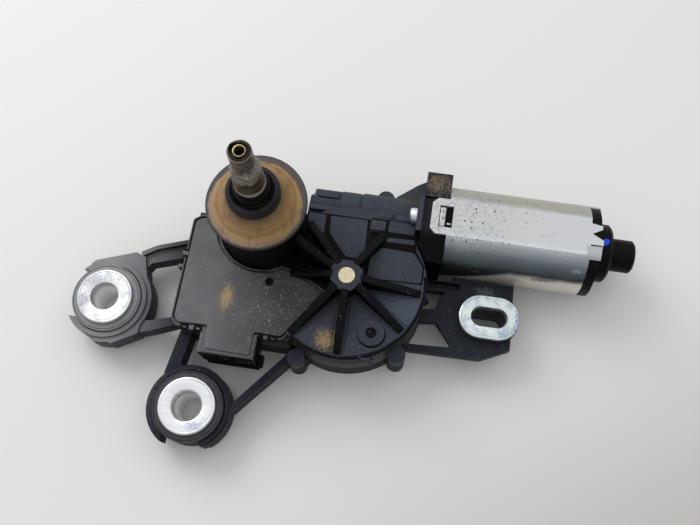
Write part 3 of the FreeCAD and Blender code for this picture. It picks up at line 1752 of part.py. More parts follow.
def brush_spring(low, high, side):
    """A coil spring behind one brush, as a wire along Y."""
    wire = 0.25
    coil = size("brush_width").value / 2 - wire - 0.1
    turns_count = 3
    height = high - low - 2 * wire
    path = Part.makeHelix(height / turns_count, height, coil)
    section = Part.makeCircle(wire, FreeCAD.Vector(coil, 0, 0), FreeCAD.Vector(0, 1, 0))
    coil_shape = Part.Wire(path).makePipeShell([Part.Wire(section)], True, True)
    coil_shape.translate(FreeCAD.Vector(0, 0, low + wire))
    coil_shape.rotate(FreeCAD.Vector(0, 0, 0), FreeCAD.Vector(1, 0, 0), -90 * side)
    return coil_shape


spring_end = (size("flange_cavity") - gap - 0.8).value
node("brush_springs", fuse(*(
    place(built(brush_spring(brush_high.value, spring_end, side)), brush_x, motor_y, motor_z)
    for side in (1, -1)
)))

# Screws that hold the motor flange, with round heads, one above and one below the shaft
motor_head = size("motor_screw_head")
motor_screw_end = motor_head + size("motor_screw_length")
node("motor_screws", fuse(*(
    turned(
        [
            (0, 0),
            (motor_head_radius - 0.6, 0),
            (motor_head_radius, 0.8),
            (motor_head_radius, motor_head),
            (size("motor_screw_radius"), motor_head),
            (size("motor_screw_radius"), motor_screw_end),
            (0, motor_screw_end),
        ],
        motor_screw_start - motor_head, motor_y, z, along_motor=True,
    )
    for z in motor_screw_z
)))

document.recompute()
faults = [
    f"{item.Label}: {item.State}" for item in document.Objects
    if "Invalid" in item.State or "Error" in item.State
]
for name, item in pieces.items():
    if item.Shape.isNull() or not item.Shape.isValid():
        faults.append(f"{name}: no valid shape")
if faults:
    raise SystemExit("\n".join(faults))
for name, item in pieces.items():
    item.Shape.exportStep(f"parts/{name}.step")
    spread = item.Shape.BoundBox
    print(
        f"{name}: {len(item.Shape.Solids)} solid, {item.Shape.Volume:.0f} mm3, "
        f"x {spread.XMin:.1f} to {spread.XMax:.1f}, y {spread.YMin:.1f} to {spread.YMax:.1f}, "
        f"z {spread.ZMin:.1f} to {spread.ZMax:.1f}"
    )
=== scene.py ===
"""Looks of a rear wiper motor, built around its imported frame.

Sizes in the classes are millimetres in the frame of the part: X runs along the motor towards its
end cap, Z along the output shaft towards its tip, and the origin is on that shaft's axis in the
plane of the back.
"""

import logging
import math
from dataclasses import dataclass, field
from enum import Enum
from typing import Callable, Optional, Sequence, Union

import bmesh
import bpy
from mathutils import Matrix, Vector, noise


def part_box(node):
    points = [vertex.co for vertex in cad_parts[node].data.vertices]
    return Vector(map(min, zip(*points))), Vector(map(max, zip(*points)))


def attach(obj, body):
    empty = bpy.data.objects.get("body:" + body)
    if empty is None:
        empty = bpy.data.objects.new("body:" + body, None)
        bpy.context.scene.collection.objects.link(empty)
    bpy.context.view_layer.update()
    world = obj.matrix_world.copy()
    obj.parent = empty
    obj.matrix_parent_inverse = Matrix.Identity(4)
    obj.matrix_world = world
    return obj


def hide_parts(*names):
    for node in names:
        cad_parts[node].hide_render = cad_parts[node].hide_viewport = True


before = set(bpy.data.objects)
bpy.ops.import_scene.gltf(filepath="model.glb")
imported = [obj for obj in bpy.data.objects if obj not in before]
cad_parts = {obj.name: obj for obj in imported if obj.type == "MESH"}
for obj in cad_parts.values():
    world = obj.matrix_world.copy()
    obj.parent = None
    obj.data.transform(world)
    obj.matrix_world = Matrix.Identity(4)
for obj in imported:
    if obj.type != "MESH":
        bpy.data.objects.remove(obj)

LOG = logging.getLogger("wiper_motor")
MM = 0.001
Point2 = tuple[float, float]
Point3 = tuple[float, float, float]
Sides = tuple[float, float, float, float]
Colour = tuple[float, float, float]
Socket = bpy.types.NodeSocket
Value = Union[float, Colour, Socket]


class Body(Enum):
    """The bodies of the frame that the modelled pieces ride on."""

    HOUSING = "housing"
    OUTPUT = "output"


class Along(Enum):
    """The direction that a turned piece's axis takes."""

    UP = "up"
    MOTOR = "motor"


# Node trees


class Tree:
    """A node tree, with short ways to add nodes to it."""

    def __init__(self, tree: bpy.types.NodeTree) -> None:
        """Wrap a tree.

        Args:
            tree: The material's or group's node tree.
        """
        self.tree = tree

    def add(
        self,
        kind: str,
        inputs: Optional[dict[Union[str, int], Value]] = None,
        **settings: object,
    ) -> bpy.types.Node:
        """Add a node, set it up and connect it.

        Args:
            kind: The node's type name without its ShaderNode start.
            inputs: Values or sockets by input name or index.
            **settings: The node's own properties.

        Returns:
            The new node.
        """
        node = self.tree.nodes.new("ShaderNode" + kind)
        for name, setting in settings.items():
            setattr(node, name, setting)
        for name, value in (inputs or {}).items():
            self.feed(node.inputs[name], value)
        return node

    def feed(self, socket: Socket, value: Value) -> None:
        """Give a socket a link or a plain value.

        Args:
            socket: The input socket.
            value: A socket to link from, a number or a colour.
        """
        if isinstance(value, Socket):
            self.tree.links.new(value, socket)
        elif isinstance(value, tuple) and socket.type == "RGBA":
            socket.default_value = (*value, 1.0)
        else:
            socket.default_value = value

    def math(self, operation: str, *values: Value, clamp: bool = False) -> Socket:
        """Add a math node.

        Args:
            operation: The operation's name.
            *values: Its inputs in order.
            clamp: Whether the result is held between 0 and 1.

        Returns:
            The result's socket.
        """
        node = self.add("Math", dict(enumerate(values)), operation=operation, use_clamp=clamp)
        return node.outputs[0]

    def times(self, first: Value, second: Value) -> Socket:
        """Multiply two values.

        Args:
            first: A number or its socket.
            second: A number or its socket.

        Returns:
            The product's socket.
        """
        return self.math("MULTIPLY", first, second)

    def most(self, first: Value, second: Value) -> Socket:
        """Take the larger of two values.

        Args:
            first: A number or its socket.
            second: A number or its socket.

        Returns:
            The larger value's socket.
        """
        return self.math("MAXIMUM", first, second)

    def rest(self, mask: Value) -> Socket:
        """Turn a mask round, so that it is 1 where it was 0.

        Args:
            mask: The mask's socket.

        Returns:
            The opposite mask's socket.
        """
        return self.math("SUBTRACT", 1.0, mask)

    def vector(self, operation: str, *values: Value, output: int = 0) -> Socket:
        """Add a vector math node.

        Args:
            operation: The operation's name.
            *values: Its inputs in order.
            output: The index of the wanted output, 1 for a number.

        Returns:
            The result's socket.
        """
        node = self.add("VectorMath", dict(enumerate(values)), operation=operation)
        return node.outputs[output]

    def flat_length(self, place: Value) -> Socket:
        """Give the distance from the upright axis through the origin.

        Args:
            place: The place's socket.

        Returns:
            The distance's socket.
        """
        return self.vector("LENGTH", self.vector("MULTIPLY", place, (1.0, 1.0, 0.0)), output=1)

    def mix(
        self, factor: Value, first: Value, second: Value, blend: str = "MIX"
    ) -> Socket:
        """Blend two colours.

        Args:
            factor: 0 for the first colour, 1 for the blend with the second.
            first: A colour or its socket.
            second: A colour or its socket.
            blend: How the second colour is laid over the first.

        Returns:
            The blended colour's socket.
        """
        inputs = {0: factor, 6: first, 7: second}
        return self.add("Mix", inputs, data_type="RGBA", blend_type=blend).outputs[2]

    def tinted(self, colour: Value, tint: Value) -> Socket:
        """Multiply a colour by a tint.

        Args:
            colour: The colour's socket.
            tint: The tint, as a colour's or a number's socket.

        Returns:
            The tinted colour's socket.
        """
        return self.mix(1.0, colour, tint, "MULTIPLY")

    def ramp(self, value: Value, stops: Sequence[tuple[float, Colour]]) -> Socket:
        """Colour a value by a row of stops.

        Args:
            value: The value's socket, from 0 to 1.
            stops: The position and the colour of each stop.

        Returns:
            The colour's socket.
        """
        node = self.add("ValToRGB", {0: value})
        elements = node.color_ramp.elements
        while len(elements) < len(stops):
            elements.new(0.5)
        for element, (position, colour) in zip(elements, stops):
            element.position = position
            element.color = (*colour, 1.0)
        return node.outputs[0]

    def span(
        self, value: Value, low: float, high: float, start: float = 0.0, end: float = 1.0
    ) -> Socket:
        """Map a range of a value smoothly to another range.

        Args:
            value: The value's socket.
            low: Where the range starts.
            high: Where the range ends.
            start: The result at low.
            end: The result at high.

        Returns:
            The mapped value's socket.
        """
        inputs = {0: value, 1: low, 2: high, 3: start, 4: end}
        return self.add("MapRange", inputs, interpolation_type="SMOOTHSTEP").outputs[0]

    def spread(self, value: Value, start: float, end: float) -> Socket:
        """Map the middle of a noise's values, which most of them lie in, to a range.

        Args:
            value: The noise's socket.
            start: The result for its low values.
            end: The result for its high values.

        Returns:
            The mapped value's socket.
        """
        return self.span(value, 0.3, 0.7, start, end)

    def noise(self, place: Value, scale: Value, detail: float = 3.0) -> Socket:
        """Add a noise texture.

        Args:
            place: The texture's coordinates.
            scale: Its scale.
            detail: Its detail.

        Returns:
            The noise value's socket.
        """
        return self.add("TexNoise", {"Vector": place, "Scale": scale, "Detail": detail}).outputs[0]

    def cells(self, place: Value, size: Value) -> bpy.types.NodeOutputs:
        """Add a texture of cells about scattered points.

        Args:
            place: The texture's coordinates.
            size: The mean distance between the points.

        Returns:
            The texture's outputs.
        """
        scale = self.math("DIVIDE", 1.0, size)
        return self.add("TexVoronoi", {"Vector": place, "Scale": scale}, feature="F1").outputs


class Effects:
    """Node groups that several materials share, each built once."""

    def __init__(self) -> None:
        """Build every group."""
        self.grain = self._grain()
        self.specks = self._specks()
        self.patch = self._patch()
        self.wear_and_highlight = self._wear()
        self.steep = self._steep()
        self.streaks = self._streaks()

    @staticmethod
    def _group(
        name: str, output: str, **inputs: Union[float, Point3]
    ) -> tuple[bpy.types.NodeTree, Tree, bpy.types.NodeOutputs, Callable[[Value], None]]:
        """Start a group with one output value.

        Args:
            name: The group's name.
            output: The output's name.
            **inputs: The default of each input.

        Returns:
            The group, its tree, its inputs' sockets and a call that connects its output.
        """
        group = bpy.data.node_groups.new(name, "ShaderNodeTree")
        for label, default in inputs.items():
            kind = "NodeSocketVector" if isinstance(default, tuple) else "NodeSocketFloat"
            socket = group.interface.new_socket(name=label, in_out="INPUT", socket_type=kind)
            socket.default_value = default
        group.interface.new_socket(name=output, in_out="OUTPUT", socket_type="NodeSocketFloat")
        entry = group.nodes.new("NodeGroupInput")
        leave = group.nodes.new("NodeGroupOutput")
        tree = Tree(group)
        return group, tree, entry.outputs, lambda value: tree.feed(leave.inputs[0], value)

    def _grain(self) -> bpy.types.NodeTree:
        """Build the fine grain of moulded plastic, as a height.

        Returns:
            The group.
        """
        group, tree, given, leave = self._group(
            "moulded_grain", "Height", Place=(0.0, 0.0, 0.0), Size=0.35
        )
        scale = tree.math("DIVIDE", 1.0, given["Size"])
        fine = tree.noise(given["Place"], scale, 4.0)
        pits = tree.cells(given["Place"], given["Size"])
        dents = tree.span(pits["Distance"], 0.05, 0.45)
        leave(tree.math("ADD", tree.times(fine, 0.7), tree.times(dents, 0.3)))
        return group

    def _specks(self) -> bpy.types.NodeTree:
        """Build scattered specks of dust or dirt, as a mask.

        Returns:
            The group.
        """
        group, tree, given, leave = self._group(
            "scattered_specks", "Mask", Place=(0.0, 0.0, 0.0), Spacing=1.0, Share=0.3, Size=0.3
        )
        cells = tree.cells(given["Place"], given["Spacing"])
        draw = tree.add("SeparateColor", {0: cells["Color"]}).outputs
        chosen = tree.math("LESS_THAN", draw[0], given["Share"])
        inside = tree.math("SUBTRACT", tree.times(given["Size"], draw[1]), cells["Distance"])
        leave(tree.times(chosen, tree.span(inside, -0.02, 0.06)))
        return group

    def _patch(self) -> bpy.types.NodeTree:
        """Build one broken patch about a point, as a mask; it lays dirt, and on some finishes
        painted light and shade.

        Returns:
            The group.
        """
        group, tree, given, leave = self._group(
            "dirt_and_light_patch",
            "Mask",
            Place=(0.0, 0.0, 0.0),
            Centre=(0.0, 0.0, 0.0),
            Reach=(1.0, 1.0, 1.0),
            Breakup=1.2,
            Solid=0.0,
        )
        away = tree.vector("SUBTRACT", given["Place"], given["Centre"])
        scaled = tree.vector("DIVIDE", away, given["Reach"])
        distance = tree.vector("LENGTH", scaled, output=1)
        ragged = tree.noise(given["Place"], given["Breakup"], 6.0)
        edge = tree.math("ADD", distance, tree.spread(ragged, -0.35, 0.35))
        body = tree.span(edge, 0.25, 1.05, 1.0, 0.0)
        crumbs = tree.noise(given["Place"], 2.6, 5.0)
        leave(tree.times(body, tree.most(tree.span(crumbs, 0.36, 0.56), given["Solid"])))
        return group

    def _wear(self) -> bpy.types.NodeTree:
        """Build worn edges, which also carry a painted highlight where they catch light, as a mask.

        Returns:
            The group.
        """
        group, tree, given, leave = self._group("edge_wear_and_highlight", "Mask", Place=(0.0, 0.0, 0.0))
        soft = tree.add("Bevel", {"Radius": 0.5 * MM}, samples=4).outputs[0]
        sharp = tree.add("NewGeometry").outputs["Normal"]
        edge = tree.span(tree.vector("DOT_PRODUCT", soft, sharp, output=1), 0.995, 0.9)
        leave(tree.times(edge, tree.span(tree.noise(given["Place"], 0.9, 5.0), 0.35, 0.65)))
        return group

    def _steep(self) -> bpy.types.NodeTree:
        """Build a mask of the faces that stand upright, from the piece's own normals.

        Returns:
            The group.
        """
        group, tree, given, leave = self._group("steep_faces", "Mask", Normal=(0.0, 0.0, 1.0))
        parts = tree.add("SeparateXYZ", {0: given["Normal"]})
        leave(tree.span(parts.outputs[2], 0.85, 0.25))
        return group

    def _streaks(self) -> bpy.types.NodeTree:
        """Build the long fine streaks of rolled or drawn metal, as a value.

        Returns:
            The group.
        """
        group, tree, given, leave = self._group(
            "drawn_streaks", "Value", Place=(0.0, 0.0, 0.0), Stretch=(0.15, 3.0, 3.0)
        )
        leave(tree.noise(tree.vector("MULTIPLY", given["Place"], given["Stretch"]), 1.0, 5.0))
        return group


# Kinds of finish


class Finish:
    """A material under construction, with the object's own coordinates in millimetres."""

    def __init__(self, name: str, effects: Effects) -> None:
        """Start a material.

        Args:
            name: The material's name.
            effects: The shared node groups.
        """
        self.effects = effects
        self.material = bpy.data.materials.new(name)
        self.material.use_nodes = True
        self.shader = self.material.node_tree.nodes["Principled BSDF"]
        self.tree = Tree(self.material.node_tree)
        coordinates = self.tree.add("TexCoord").outputs
        self.place = self.tree.vector("MULTIPLY", coordinates["Object"], (1e3, 1e3, 1e3))
        self.normal = coordinates["Normal"]

    def use(self, group: bpy.types.NodeTree, **inputs: Value) -> Socket:
        """Place a shared group in this material.

        Args:
            group: The group.
            **inputs: Values by input name; its place and normal are connected on their own.

        Returns:
            The group's output.
        """
        node = self.tree.add("Group", node_tree=group)
        own = {"Place": self.place, "Normal": self.normal}
        inputs.update((label, value) for label, value in own.items() if label in node.inputs)
        for label, value in inputs.items():
            self.tree.feed(node.inputs[label], value)
        return node.outputs[0]

    def coordinate(self, axis: int) -> Socket:
        """Give one coordinate of the place on the piece.

        Args:
            axis: 0 for X, 1 for Y, 2 for Z.

        Returns:
            The coordinate's socket.
        """
        return self.tree.add("SeparateXYZ", {0: self.place}).outputs[axis]

    def set(self, label: str, value: Value) -> None:
        """Connect or set one of the shader's sockets.

        Args:
            label: The socket's name.
            value: A socket to link from, a number or a colour.
        """
        self.tree.feed(self.shader.inputs[label], value)

    def bump(self, height: Value, depth: float, after: Optional[Value] = None) -> Value:
        """Connect a bump to the shader's normal.

        Args:
            height: The height's socket, from 0 to 1.
            depth: How many millimetres a height of 1 stands for.
            after: The normal of an earlier bump.

        Returns:
            The bumped normal's socket.
        """
        inputs: dict[Union[str, int], Value] = {"Height": height, "Distance": depth * MM}
        if after is not None:
            inputs["Normal"] = after
        node = self.tree.add("Bump", inputs)
        self.set("Normal", node.outputs[0])
        return node.outputs[0]


@dataclass(frozen=True)
class DirtAndLightPatch:
    """A patch of colour on a piece: dirt on most finishes, painted light and shade on some."""

    centre: Point3
    reach: Point3
    colour: Colour
    strength: float
    solid: float = 0.0

    def lay(self, finish: Finish, base: Value) -> tuple[Value, Value, Value]:
        """Lay the patch over a colour.

        Args:
            finish: The finish it lies on.
            base: The colour below it.

        Returns:
            The new colour, the patch's mask and the mask at the patch's strength.
        """
        mask = finish.use(
            finish.effects.patch, Centre=self.centre, Reach=self.reach, Solid=self.solid
        )
        dirt_and_light = finish.tree.times(mask, self.strength)
        return finish.tree.mix(dirt_and_light, base, self.colour), mask, dirt_and_light


@dataclass(frozen=True)
class Recipe:
    """What a material is made of; each kind of recipe says how it is painted."""

    name: str
    gloss: float = field(default=0.5, kw_only=True)

    def build(self, effects: Effects) -> bpy.types.Material:
        """Build the material.

        Args:
            effects: The shared node groups.

        Returns:
            The material.
        """
        finish = Finish(self.name, effects)
        finish.set("Specular IOR Level", self.gloss)
        self.paint(finish)
        return finish.material

    def paint(self, finish: Finish) -> None:
        """Connect the surface's colour, roughness and relief.

        Args:
            finish: The material under construction.
        """
        raise NotImplementedError


@dataclass(frozen=True)
class MouldedPlastic(Recipe):
    """Dark glass-filled plastic with grain, dust, painted shade on upright faces, a tone fade along
    one axis, and worn edges with a painted highlight.
    """

    colour: Colour
    # side_colour is the upright faces' tone, on most finishes a painted shade.
    side_colour: Colour
    dust_colour: Colour = (0.2, 0.19, 0.175)
    dust_share: float = 0.16
    roughness: float = 0.5
    depth: float = 0.05
    film: float = 0.25
    patches: tuple[DirtAndLightPatch, ...] = ()
    # The near and far tones fade into each other along fade_axis. On the cover the lighter near end
    # is a painted sheen; on the housing the near-black far side colour and on the flange the
    # near-black near end are painted shade.
    far_colour: Optional[Colour] = None
    far_side: Optional[Colour] = None
    fade: tuple[float, float] = (0.0, 1.0)
    fade_axis: int = 0
    grain: float = 0.35
    fine_dust: float = 0.45
    dust_weight: float = 0.7
    near_dust: float = 0.4
    # How strongly edges lighten, where worn and as a painted highlight.
    worn: float = 0.3
    gloss: float = field(default=0.2, kw_only=True)

    @staticmethod
    def _lighter(colour: Colour) -> Colour:
        """Give the tone of a colour where it is worn, on an edge's painted highlight, or under a
        film.

        Args:
            colour: The clean colour.

        Returns:
            The lighter tone.
        """
        return tuple(part * 1.5 + 0.006 for part in colour)

    def paint(self, finish: Finish) -> None:
        """Connect the plastic's tones, painted shade, dust, patches, worn and highlighted edges and
        grain.

        Args:
            finish: The material under construction.
        """
        tree, effects = finish.tree, finish.effects
        steep = finish.use(effects.steep)
        film = tree.times(tree.span(tree.noise(finish.place, 0.11, 4.0), 0.35, 0.7), self.film)
        near: Value = self.colour
        side: Value = self.side_colour
        lighter: Value = self._lighter(self.colour)
        dusty: Value = 1.0
        # Fade from the near tones to the far ones along one axis; on some finishes this paints
        # sheen and shade.
        if self.far_colour and self.far_side:
            share = tree.span(finish.coordinate(self.fade_axis), *self.fade)
            lighter = tree.mix(share, lighter, self._lighter(self.far_colour))
            near = tree.mix(share, near, self.far_colour)
            side = tree.mix(share, side, self.far_side)
            dusty = tree.span(share, 0.2, 0.8, self.near_dust, 1.0)
        # Upright faces take the side colour, on most finishes a painted shade.
        base = tree.mix(steep, tree.mix(film, near, lighter), side)
        fine = finish.use(effects.specks, Spacing=0.6, Share=self.dust_share, Size=0.5)
        coarse = finish.use(effects.specks, Spacing=1.6, Share=self.dust_share * 0.4, Size=0.2)
        dust = tree.most(tree.times(fine, self.fine_dust), coarse)
        settled = tree.times(tree.times(dust, tree.rest(steep)), dusty)
        base = tree.mix(tree.times(settled, self.dust_weight), base, self.dust_colour)
        rough = tree.spread(tree.noise(finish.place, 0.5, 3.0), -0.07, 0.07)
        for patch in self.patches:
            base, mask, _ = patch.lay(finish, base)
            rough = tree.math("MULTIPLY_ADD", mask, 0.25, rough)
        # Edges lighten where worn and as a painted highlight.
        wear_and_highlight = tree.times(finish.use(effects.wear_and_highlight), self.worn)
        finish.set("Base Color", tree.mix(wear_and_highlight, base, lighter))
        finish.set("Roughness", tree.math("ADD", rough, self.roughness, clamp=True))
        first = finish.bump(finish.use(effects.grain, Size=self.grain), self.depth)
        finish.bump(dust, 0.05, first)


@dataclass(frozen=True)
class Rubber(Recipe):
    """Dark rubber with a little bloom and dust, and worn edges with a painted highlight."""

    colour: Colour
    bloom: Colour
    roughness: float = 0.62
    dust_colour: Colour = (0.22, 0.21, 0.2)
    worn_and_lit_colour: Colour = (0.13, 0.13, 0.135)
    gloss: float = field(default=0.22, kw_only=True)

    def paint(self, finish: Finish) -> None:
        """Connect the rubber's bloom, dust, worn and highlighted edges and grain.

        Args:
            finish: The material under construction.
        """
        tree, effects = finish.tree, finish.effects
        cloud = tree.span(tree.noise(finish.place, 0.25, 4.0), 0.4, 0.7)
        base = tree.mix(cloud, self.colour, self.bloom)
        dust = finish.use(effects.specks, Spacing=0.8, Share=0.12, Size=0.3)
        # Edges lighten where worn and as a painted highlight.
        wear_and_highlight = tree.times(finish.use(effects.wear_and_highlight), 0.35)
        base = tree.mix(tree.times(dust, 0.6), base, self.dust_colour)
        finish.set("Base Color", tree.mix(wear_and_highlight, base, self.worn_and_lit_colour))
        finish.set("Roughness", tree.span(cloud, 0.0, 1.0, self.roughness, self.roughness + 0.15))
        first = finish.bump(finish.use(effects.grain, Size=0.5), 0.03)
        finish.bump(dust, 0.05, first)


@dataclass(frozen=True)
class DustySeal(Recipe):
    """Rubber under tan road dust, darker at the rim and in its creases."""

    name: str = "dusty_seal"
    dusted: tuple[float, float] = (9.0, 18.0)
    stops: tuple[tuple[float, Colour], ...] = (
        (0.0, (0.13, 0.082, 0.042)),
        (0.12, (0.22, 0.138, 0.066)),
        (0.35, (0.25, 0.155, 0.07)),
        (0.5, (0.205, 0.125, 0.052)),
        (0.57, (0.225, 0.138, 0.058)),
        (0.66, (0.28, 0.18, 0.085)),
        (0.82, (0.25, 0.168, 0.092)),
        (0.93, (0.205, 0.147, 0.095)),
        (0.965, (0.1, 0.08, 0.065)),
        (1.0, (0.02, 0.018, 0.019)),
    )
    left_tint: Colour = (1.22, 1.2, 1.3)
    right_tint: Colour = (1.12, 1.04, 0.84)
    mark: Colour = (0.085, 0.056, 0.034)
    border: Colour = (0.062, 0.06, 0.068)
    underside: Colour = (0.014, 0.012, 0.014)
    crumbs: Colour = (0.055, 0.04, 0.028)
    gloss: float = field(default=0.3, kw_only=True)

    def paint(self, finish: Finish) -> None:
        """Connect the dust's rings, its marks, the bare border and the dark underside.

        Args:
            finish: The material under construction.
        """
        tree, effects = finish.tree, finish.effects
        uneven = tree.spread(tree.noise(finish.place, 0.3, 3.0), -0.22, 0.22)
        reach = tree.math("ADD", tree.flat_length(finish.place), uneven)
        rings = tree.ramp(tree.span(reach, *self.dusted), self.stops)
        golden = tree.span(finish.coordinate(0), -6.0, 17.0)
        dusty = tree.tinted(rings, tree.mix(golden, self.left_tint, self.right_tint))
        swirl = finish.use(effects.streaks, Stretch=(0.42, 0.2, 0.42))
        marked = tree.mix(tree.times(tree.span(swirl, 0.5, 0.68), 0.4), dusty, self.mark)
        border = tree.span(finish.coordinate(1), -13.0, 15.0, 17.3, 14.6)
        outer = tree.span(tree.math("SUBTRACT", reach, border), -0.35, 0.45)
        marked = tree.mix(tree.times(outer, 0.9), marked, self.border)
        under = tree.span(finish.use(effects.steep), 0.6, 0.95)
        shown = tree.mix(under, marked, self.underside)
        grit = finish.use(effects.specks, Spacing=1.1, Share=0.22, Size=0.2)
        finish.set("Base Color", tree.mix(grit, shown, self.crumbs))
        finish.set("Roughness", tree.spread(swirl, 0.62, 0.8))
        first = finish.bump(finish.use(effects.grain, Size=0.9), 0.05)
        finish.bump(grit, 0.08, first)


@dataclass(frozen=True)
class Metal(Recipe):
    """Plated, drawn or turned metal with streaks, tarnish and specks."""

    colour: Colour
    tarnish: Colour
    roughness: float = 0.3
    tarnish_range: tuple[float, float] = (0.45, 0.75)
    tarnish_scale: float = 0.15
    speck_share: float = 0.0
    speck_colour: Colour = (0.05, 0.05, 0.05)
    metallic: float = 1.0
    # The bore's top, depth and tone: painted light in the round sleeves, painted shade in the
    # slotted one.
    bore: Optional[tuple[float, float, Colour]] = None
    patches: tuple[DirtAndLightPatch, ...] = ()

    def paint(self, finish: Finish) -> None:
        """Connect the metal's streaks, tarnish, specks, patches and the painted light and shade of
        its bore.

        Args:
            finish: The material under construction.
        """
        tree, effects = finish.tree, finish.effects
        streaks = finish.use(effects.streaks)
        cloud = tree.noise(finish.place, self.tarnish_scale, 5.0)
        tarnished = tree.span(cloud, *self.tarnish_range)
        base: Value = tree.mix(tarnished, self.colour, self.tarnish)
        base = tree.tinted(base, tree.spread(streaks, 0.88, 1.0))
        rough = tree.spread(streaks, self.roughness, self.roughness + 0.1)
        rough = tree.math("MULTIPLY_ADD", tarnished, 0.15, rough)
        metallic = tree.span(tarnished, 0.0, 1.0, self.metallic, self.metallic * 0.75)
        if self.speck_share:
            fine = finish.use(effects.specks, Spacing=0.9, Share=self.speck_share, Size=0.32)
            coarse = finish.use(
                effects.specks, Spacing=2.6, Share=self.speck_share * 0.4, Size=0.2
            )
            grit = tree.most(fine, coarse)
            base = tree.mix(grit, base, self.speck_colour)
            rough = tree.math("MULTIPLY_ADD", grit, 0.4, rough)
            metallic = tree.times(metallic, tree.rest(grit))
        for patch in self.patches:
            base, _, dirt_and_light = patch.lay(finish, base)
            rough = tree.math("MULTIPLY_ADD", dirt_and_light, 0.35, rough)
            metallic = tree.times(metallic, tree.rest(dirt_and_light))
        # Below the bore's top the wall fades to the bore's painted tone: pale light, near-black
        # shade in the slotted sleeve.
        if self.bore:
            top, deep, colour = self.bore
            depth = tree.span(finish.coordinate(2), top, deep)
            base = tree.mix(depth, base, colour)
            metallic = tree.times(metallic, tree.rest(depth))
        finish.set("Base Color", base)
        finish.set("Metallic", metallic)
        finish.set("Roughness", rough)
        finish.bump(streaks, 0.012)


@dataclass(frozen=True)
class GalvanisedCan(Recipe):
    """Galvanised steel, pale on the flat; its dark, bluer rounded side, pale underside, mid-tone
    back and bright crease are painted reflection and shade.
    """

    name: str = "galvanised_can"
    flat: Colour = (0.535, 0.545, 0.55)
    # Painted reflection and shade: the side's tones by height, the pale underside as a reflection
    # of the floor, the back's tone and the bright crease.
    side: tuple[tuple[float, Colour], ...] = (
        (0.36, (0.009, 0.011, 0.012)),
        (0.52, (0.013, 0.021, 0.028)),
        (0.62, (0.042, 0.058, 0.066)),
        (0.69, (0.075, 0.096, 0.107)),
        (0.77, (0.102, 0.13, 0.147)),
        (0.86, (0.143, 0.17, 0.195)),
        (0.93, (0.22, 0.25, 0.28)),
        (1.0, (0.45, 0.48, 0.51)),
    )
    underside: Colour = (0.74, 0.71, 0.65)
    back: Colour = (0.42, 0.43, 0.385)
    crease: Colour = (0.6, 0.625, 0.66)
    grit: Colour = (0.1, 0.092, 0.08)
    heights: tuple[float, float] = (15.0, 32.4)
    flat_edges: tuple[float, float] = (5.0, 19.5)
    patches: tuple[DirtAndLightPatch, ...] = (
        DirtAndLightPatch((93.0, 22.5, 30.0), (9.0, 3.2, 4.0), (0.33, 0.27, 0.19), 0.7, 0.5),
        DirtAndLightPatch((109.0, 22.5, 30.0), (10.0, 2.6, 4.0), (0.36, 0.3, 0.2), 0.7, 0.5),
        # The long dark patch low on the front side is a painted dark reflection.
        DirtAndLightPatch((104.0, -3.4, 22.6), (8.5, 2.0, 1.5), (0.05, 0.05, 0.042), 0.9, 0.3),
        DirtAndLightPatch((113.0, -1.5, 25.4), (3.6, 3.0, 2.0), (0.08, 0.078, 0.066), 0.75, 0.3),
        DirtAndLightPatch((115.6, -0.2, 28.2), (2.6, 1.4, 1.2), (0.46, 0.44, 0.38), 0.7, 0.5),
    )

    def paint(self, finish: Finish) -> None:
        """Connect the flat's tone, the painted reflection and shade round the side, the grit and
        the patches.

        Args:
            finish: The material under construction.
        """
        tree, effects = finish.tree, finish.effects
        along, across, height = (finish.coordinate(axis) for axis in range(3))
        streaks = finish.use(effects.streaks, Stretch=(0.06, 1.6, 1.6))
        shift = tree.spread(tree.noise(finish.place, 0.09, 5.0), -0.6, 0.6)
        edge = tree.math("ADD", across, shift)
        low, high = self.flat_edges
        lower = tree.span(edge, low + 0.6, low - 1.6)
        lit_end = tree.span(along, 76.0, 100.0, 0.0, 0.5)
        level = tree.math("ADD", height, tree.times(shift, 0.6))
        # The side darkens from the flat downwards: painted reflection and shade.
        side = tree.ramp(tree.most(tree.span(level, *self.heights), lit_end), self.side)
        # Below a slanting bound the side turns pale: a painted reflection of the floor.
        bound = tree.math("MINIMUM", tree.math("MULTIPLY_ADD", along, 0.4, -12.8), 24.0)
        under = tree.span(tree.math("SUBTRACT", level, bound), 0.8, -1.8)
        base: Value = tree.mix(lower, self.flat, tree.mix(under, side, self.underside))
        # Beyond the flat the back takes a mid tone, part of the painted reflection.
        base = tree.mix(tree.span(edge, high, high + 1.8), base, self.back)
        # A painted highlight runs along the crease at the flat's edge.
        crease = tree.times(tree.span(edge, low + 2.2, low + 0.7), 0.8)
        base = tree.mix(tree.times(crease, tree.rest(lower)), base, self.crease)
        base = tree.tinted(base, tree.spread(streaks, 0.93, 1.0))
        fine = finish.use(effects.specks, Spacing=0.5, Share=0.9, Size=0.8)
        coarse = finish.use(effects.specks, Spacing=1.3, Share=0.4, Size=0.36)
        field_end = tree.span(tree.math("ADD", along, tree.times(shift, 8.0)), 98.0, 76.0)
        dense = tree.times(fine, field_end)
        sparse = tree.times(coarse, tree.span(along, 118.0, 72.0, 0.15, 1.0))
        grit_and_shade: Value = tree.most(tree.times(dense, 0.34), sparse)
        base = tree.mix(grit_and_shade, base, self.grit)
        for patch in self.patches:
            base, _, dirt_and_light = patch.lay(finish, base)
            grit_and_shade = tree.most(grit_and_shade, dirt_and_light)
        finish.set("Base Color", base)
        finish.set("Metallic", tree.span(grit_and_shade, 0.0, 1.0, 0.75, 0.1))
        rough = tree.spread(streaks, 0.34, 0.42)
        finish.set("Roughness", tree.math("MULTIPLY_ADD", grit_and_shade, 0.3, rough))
        finish.bump(streaks, 0.006)


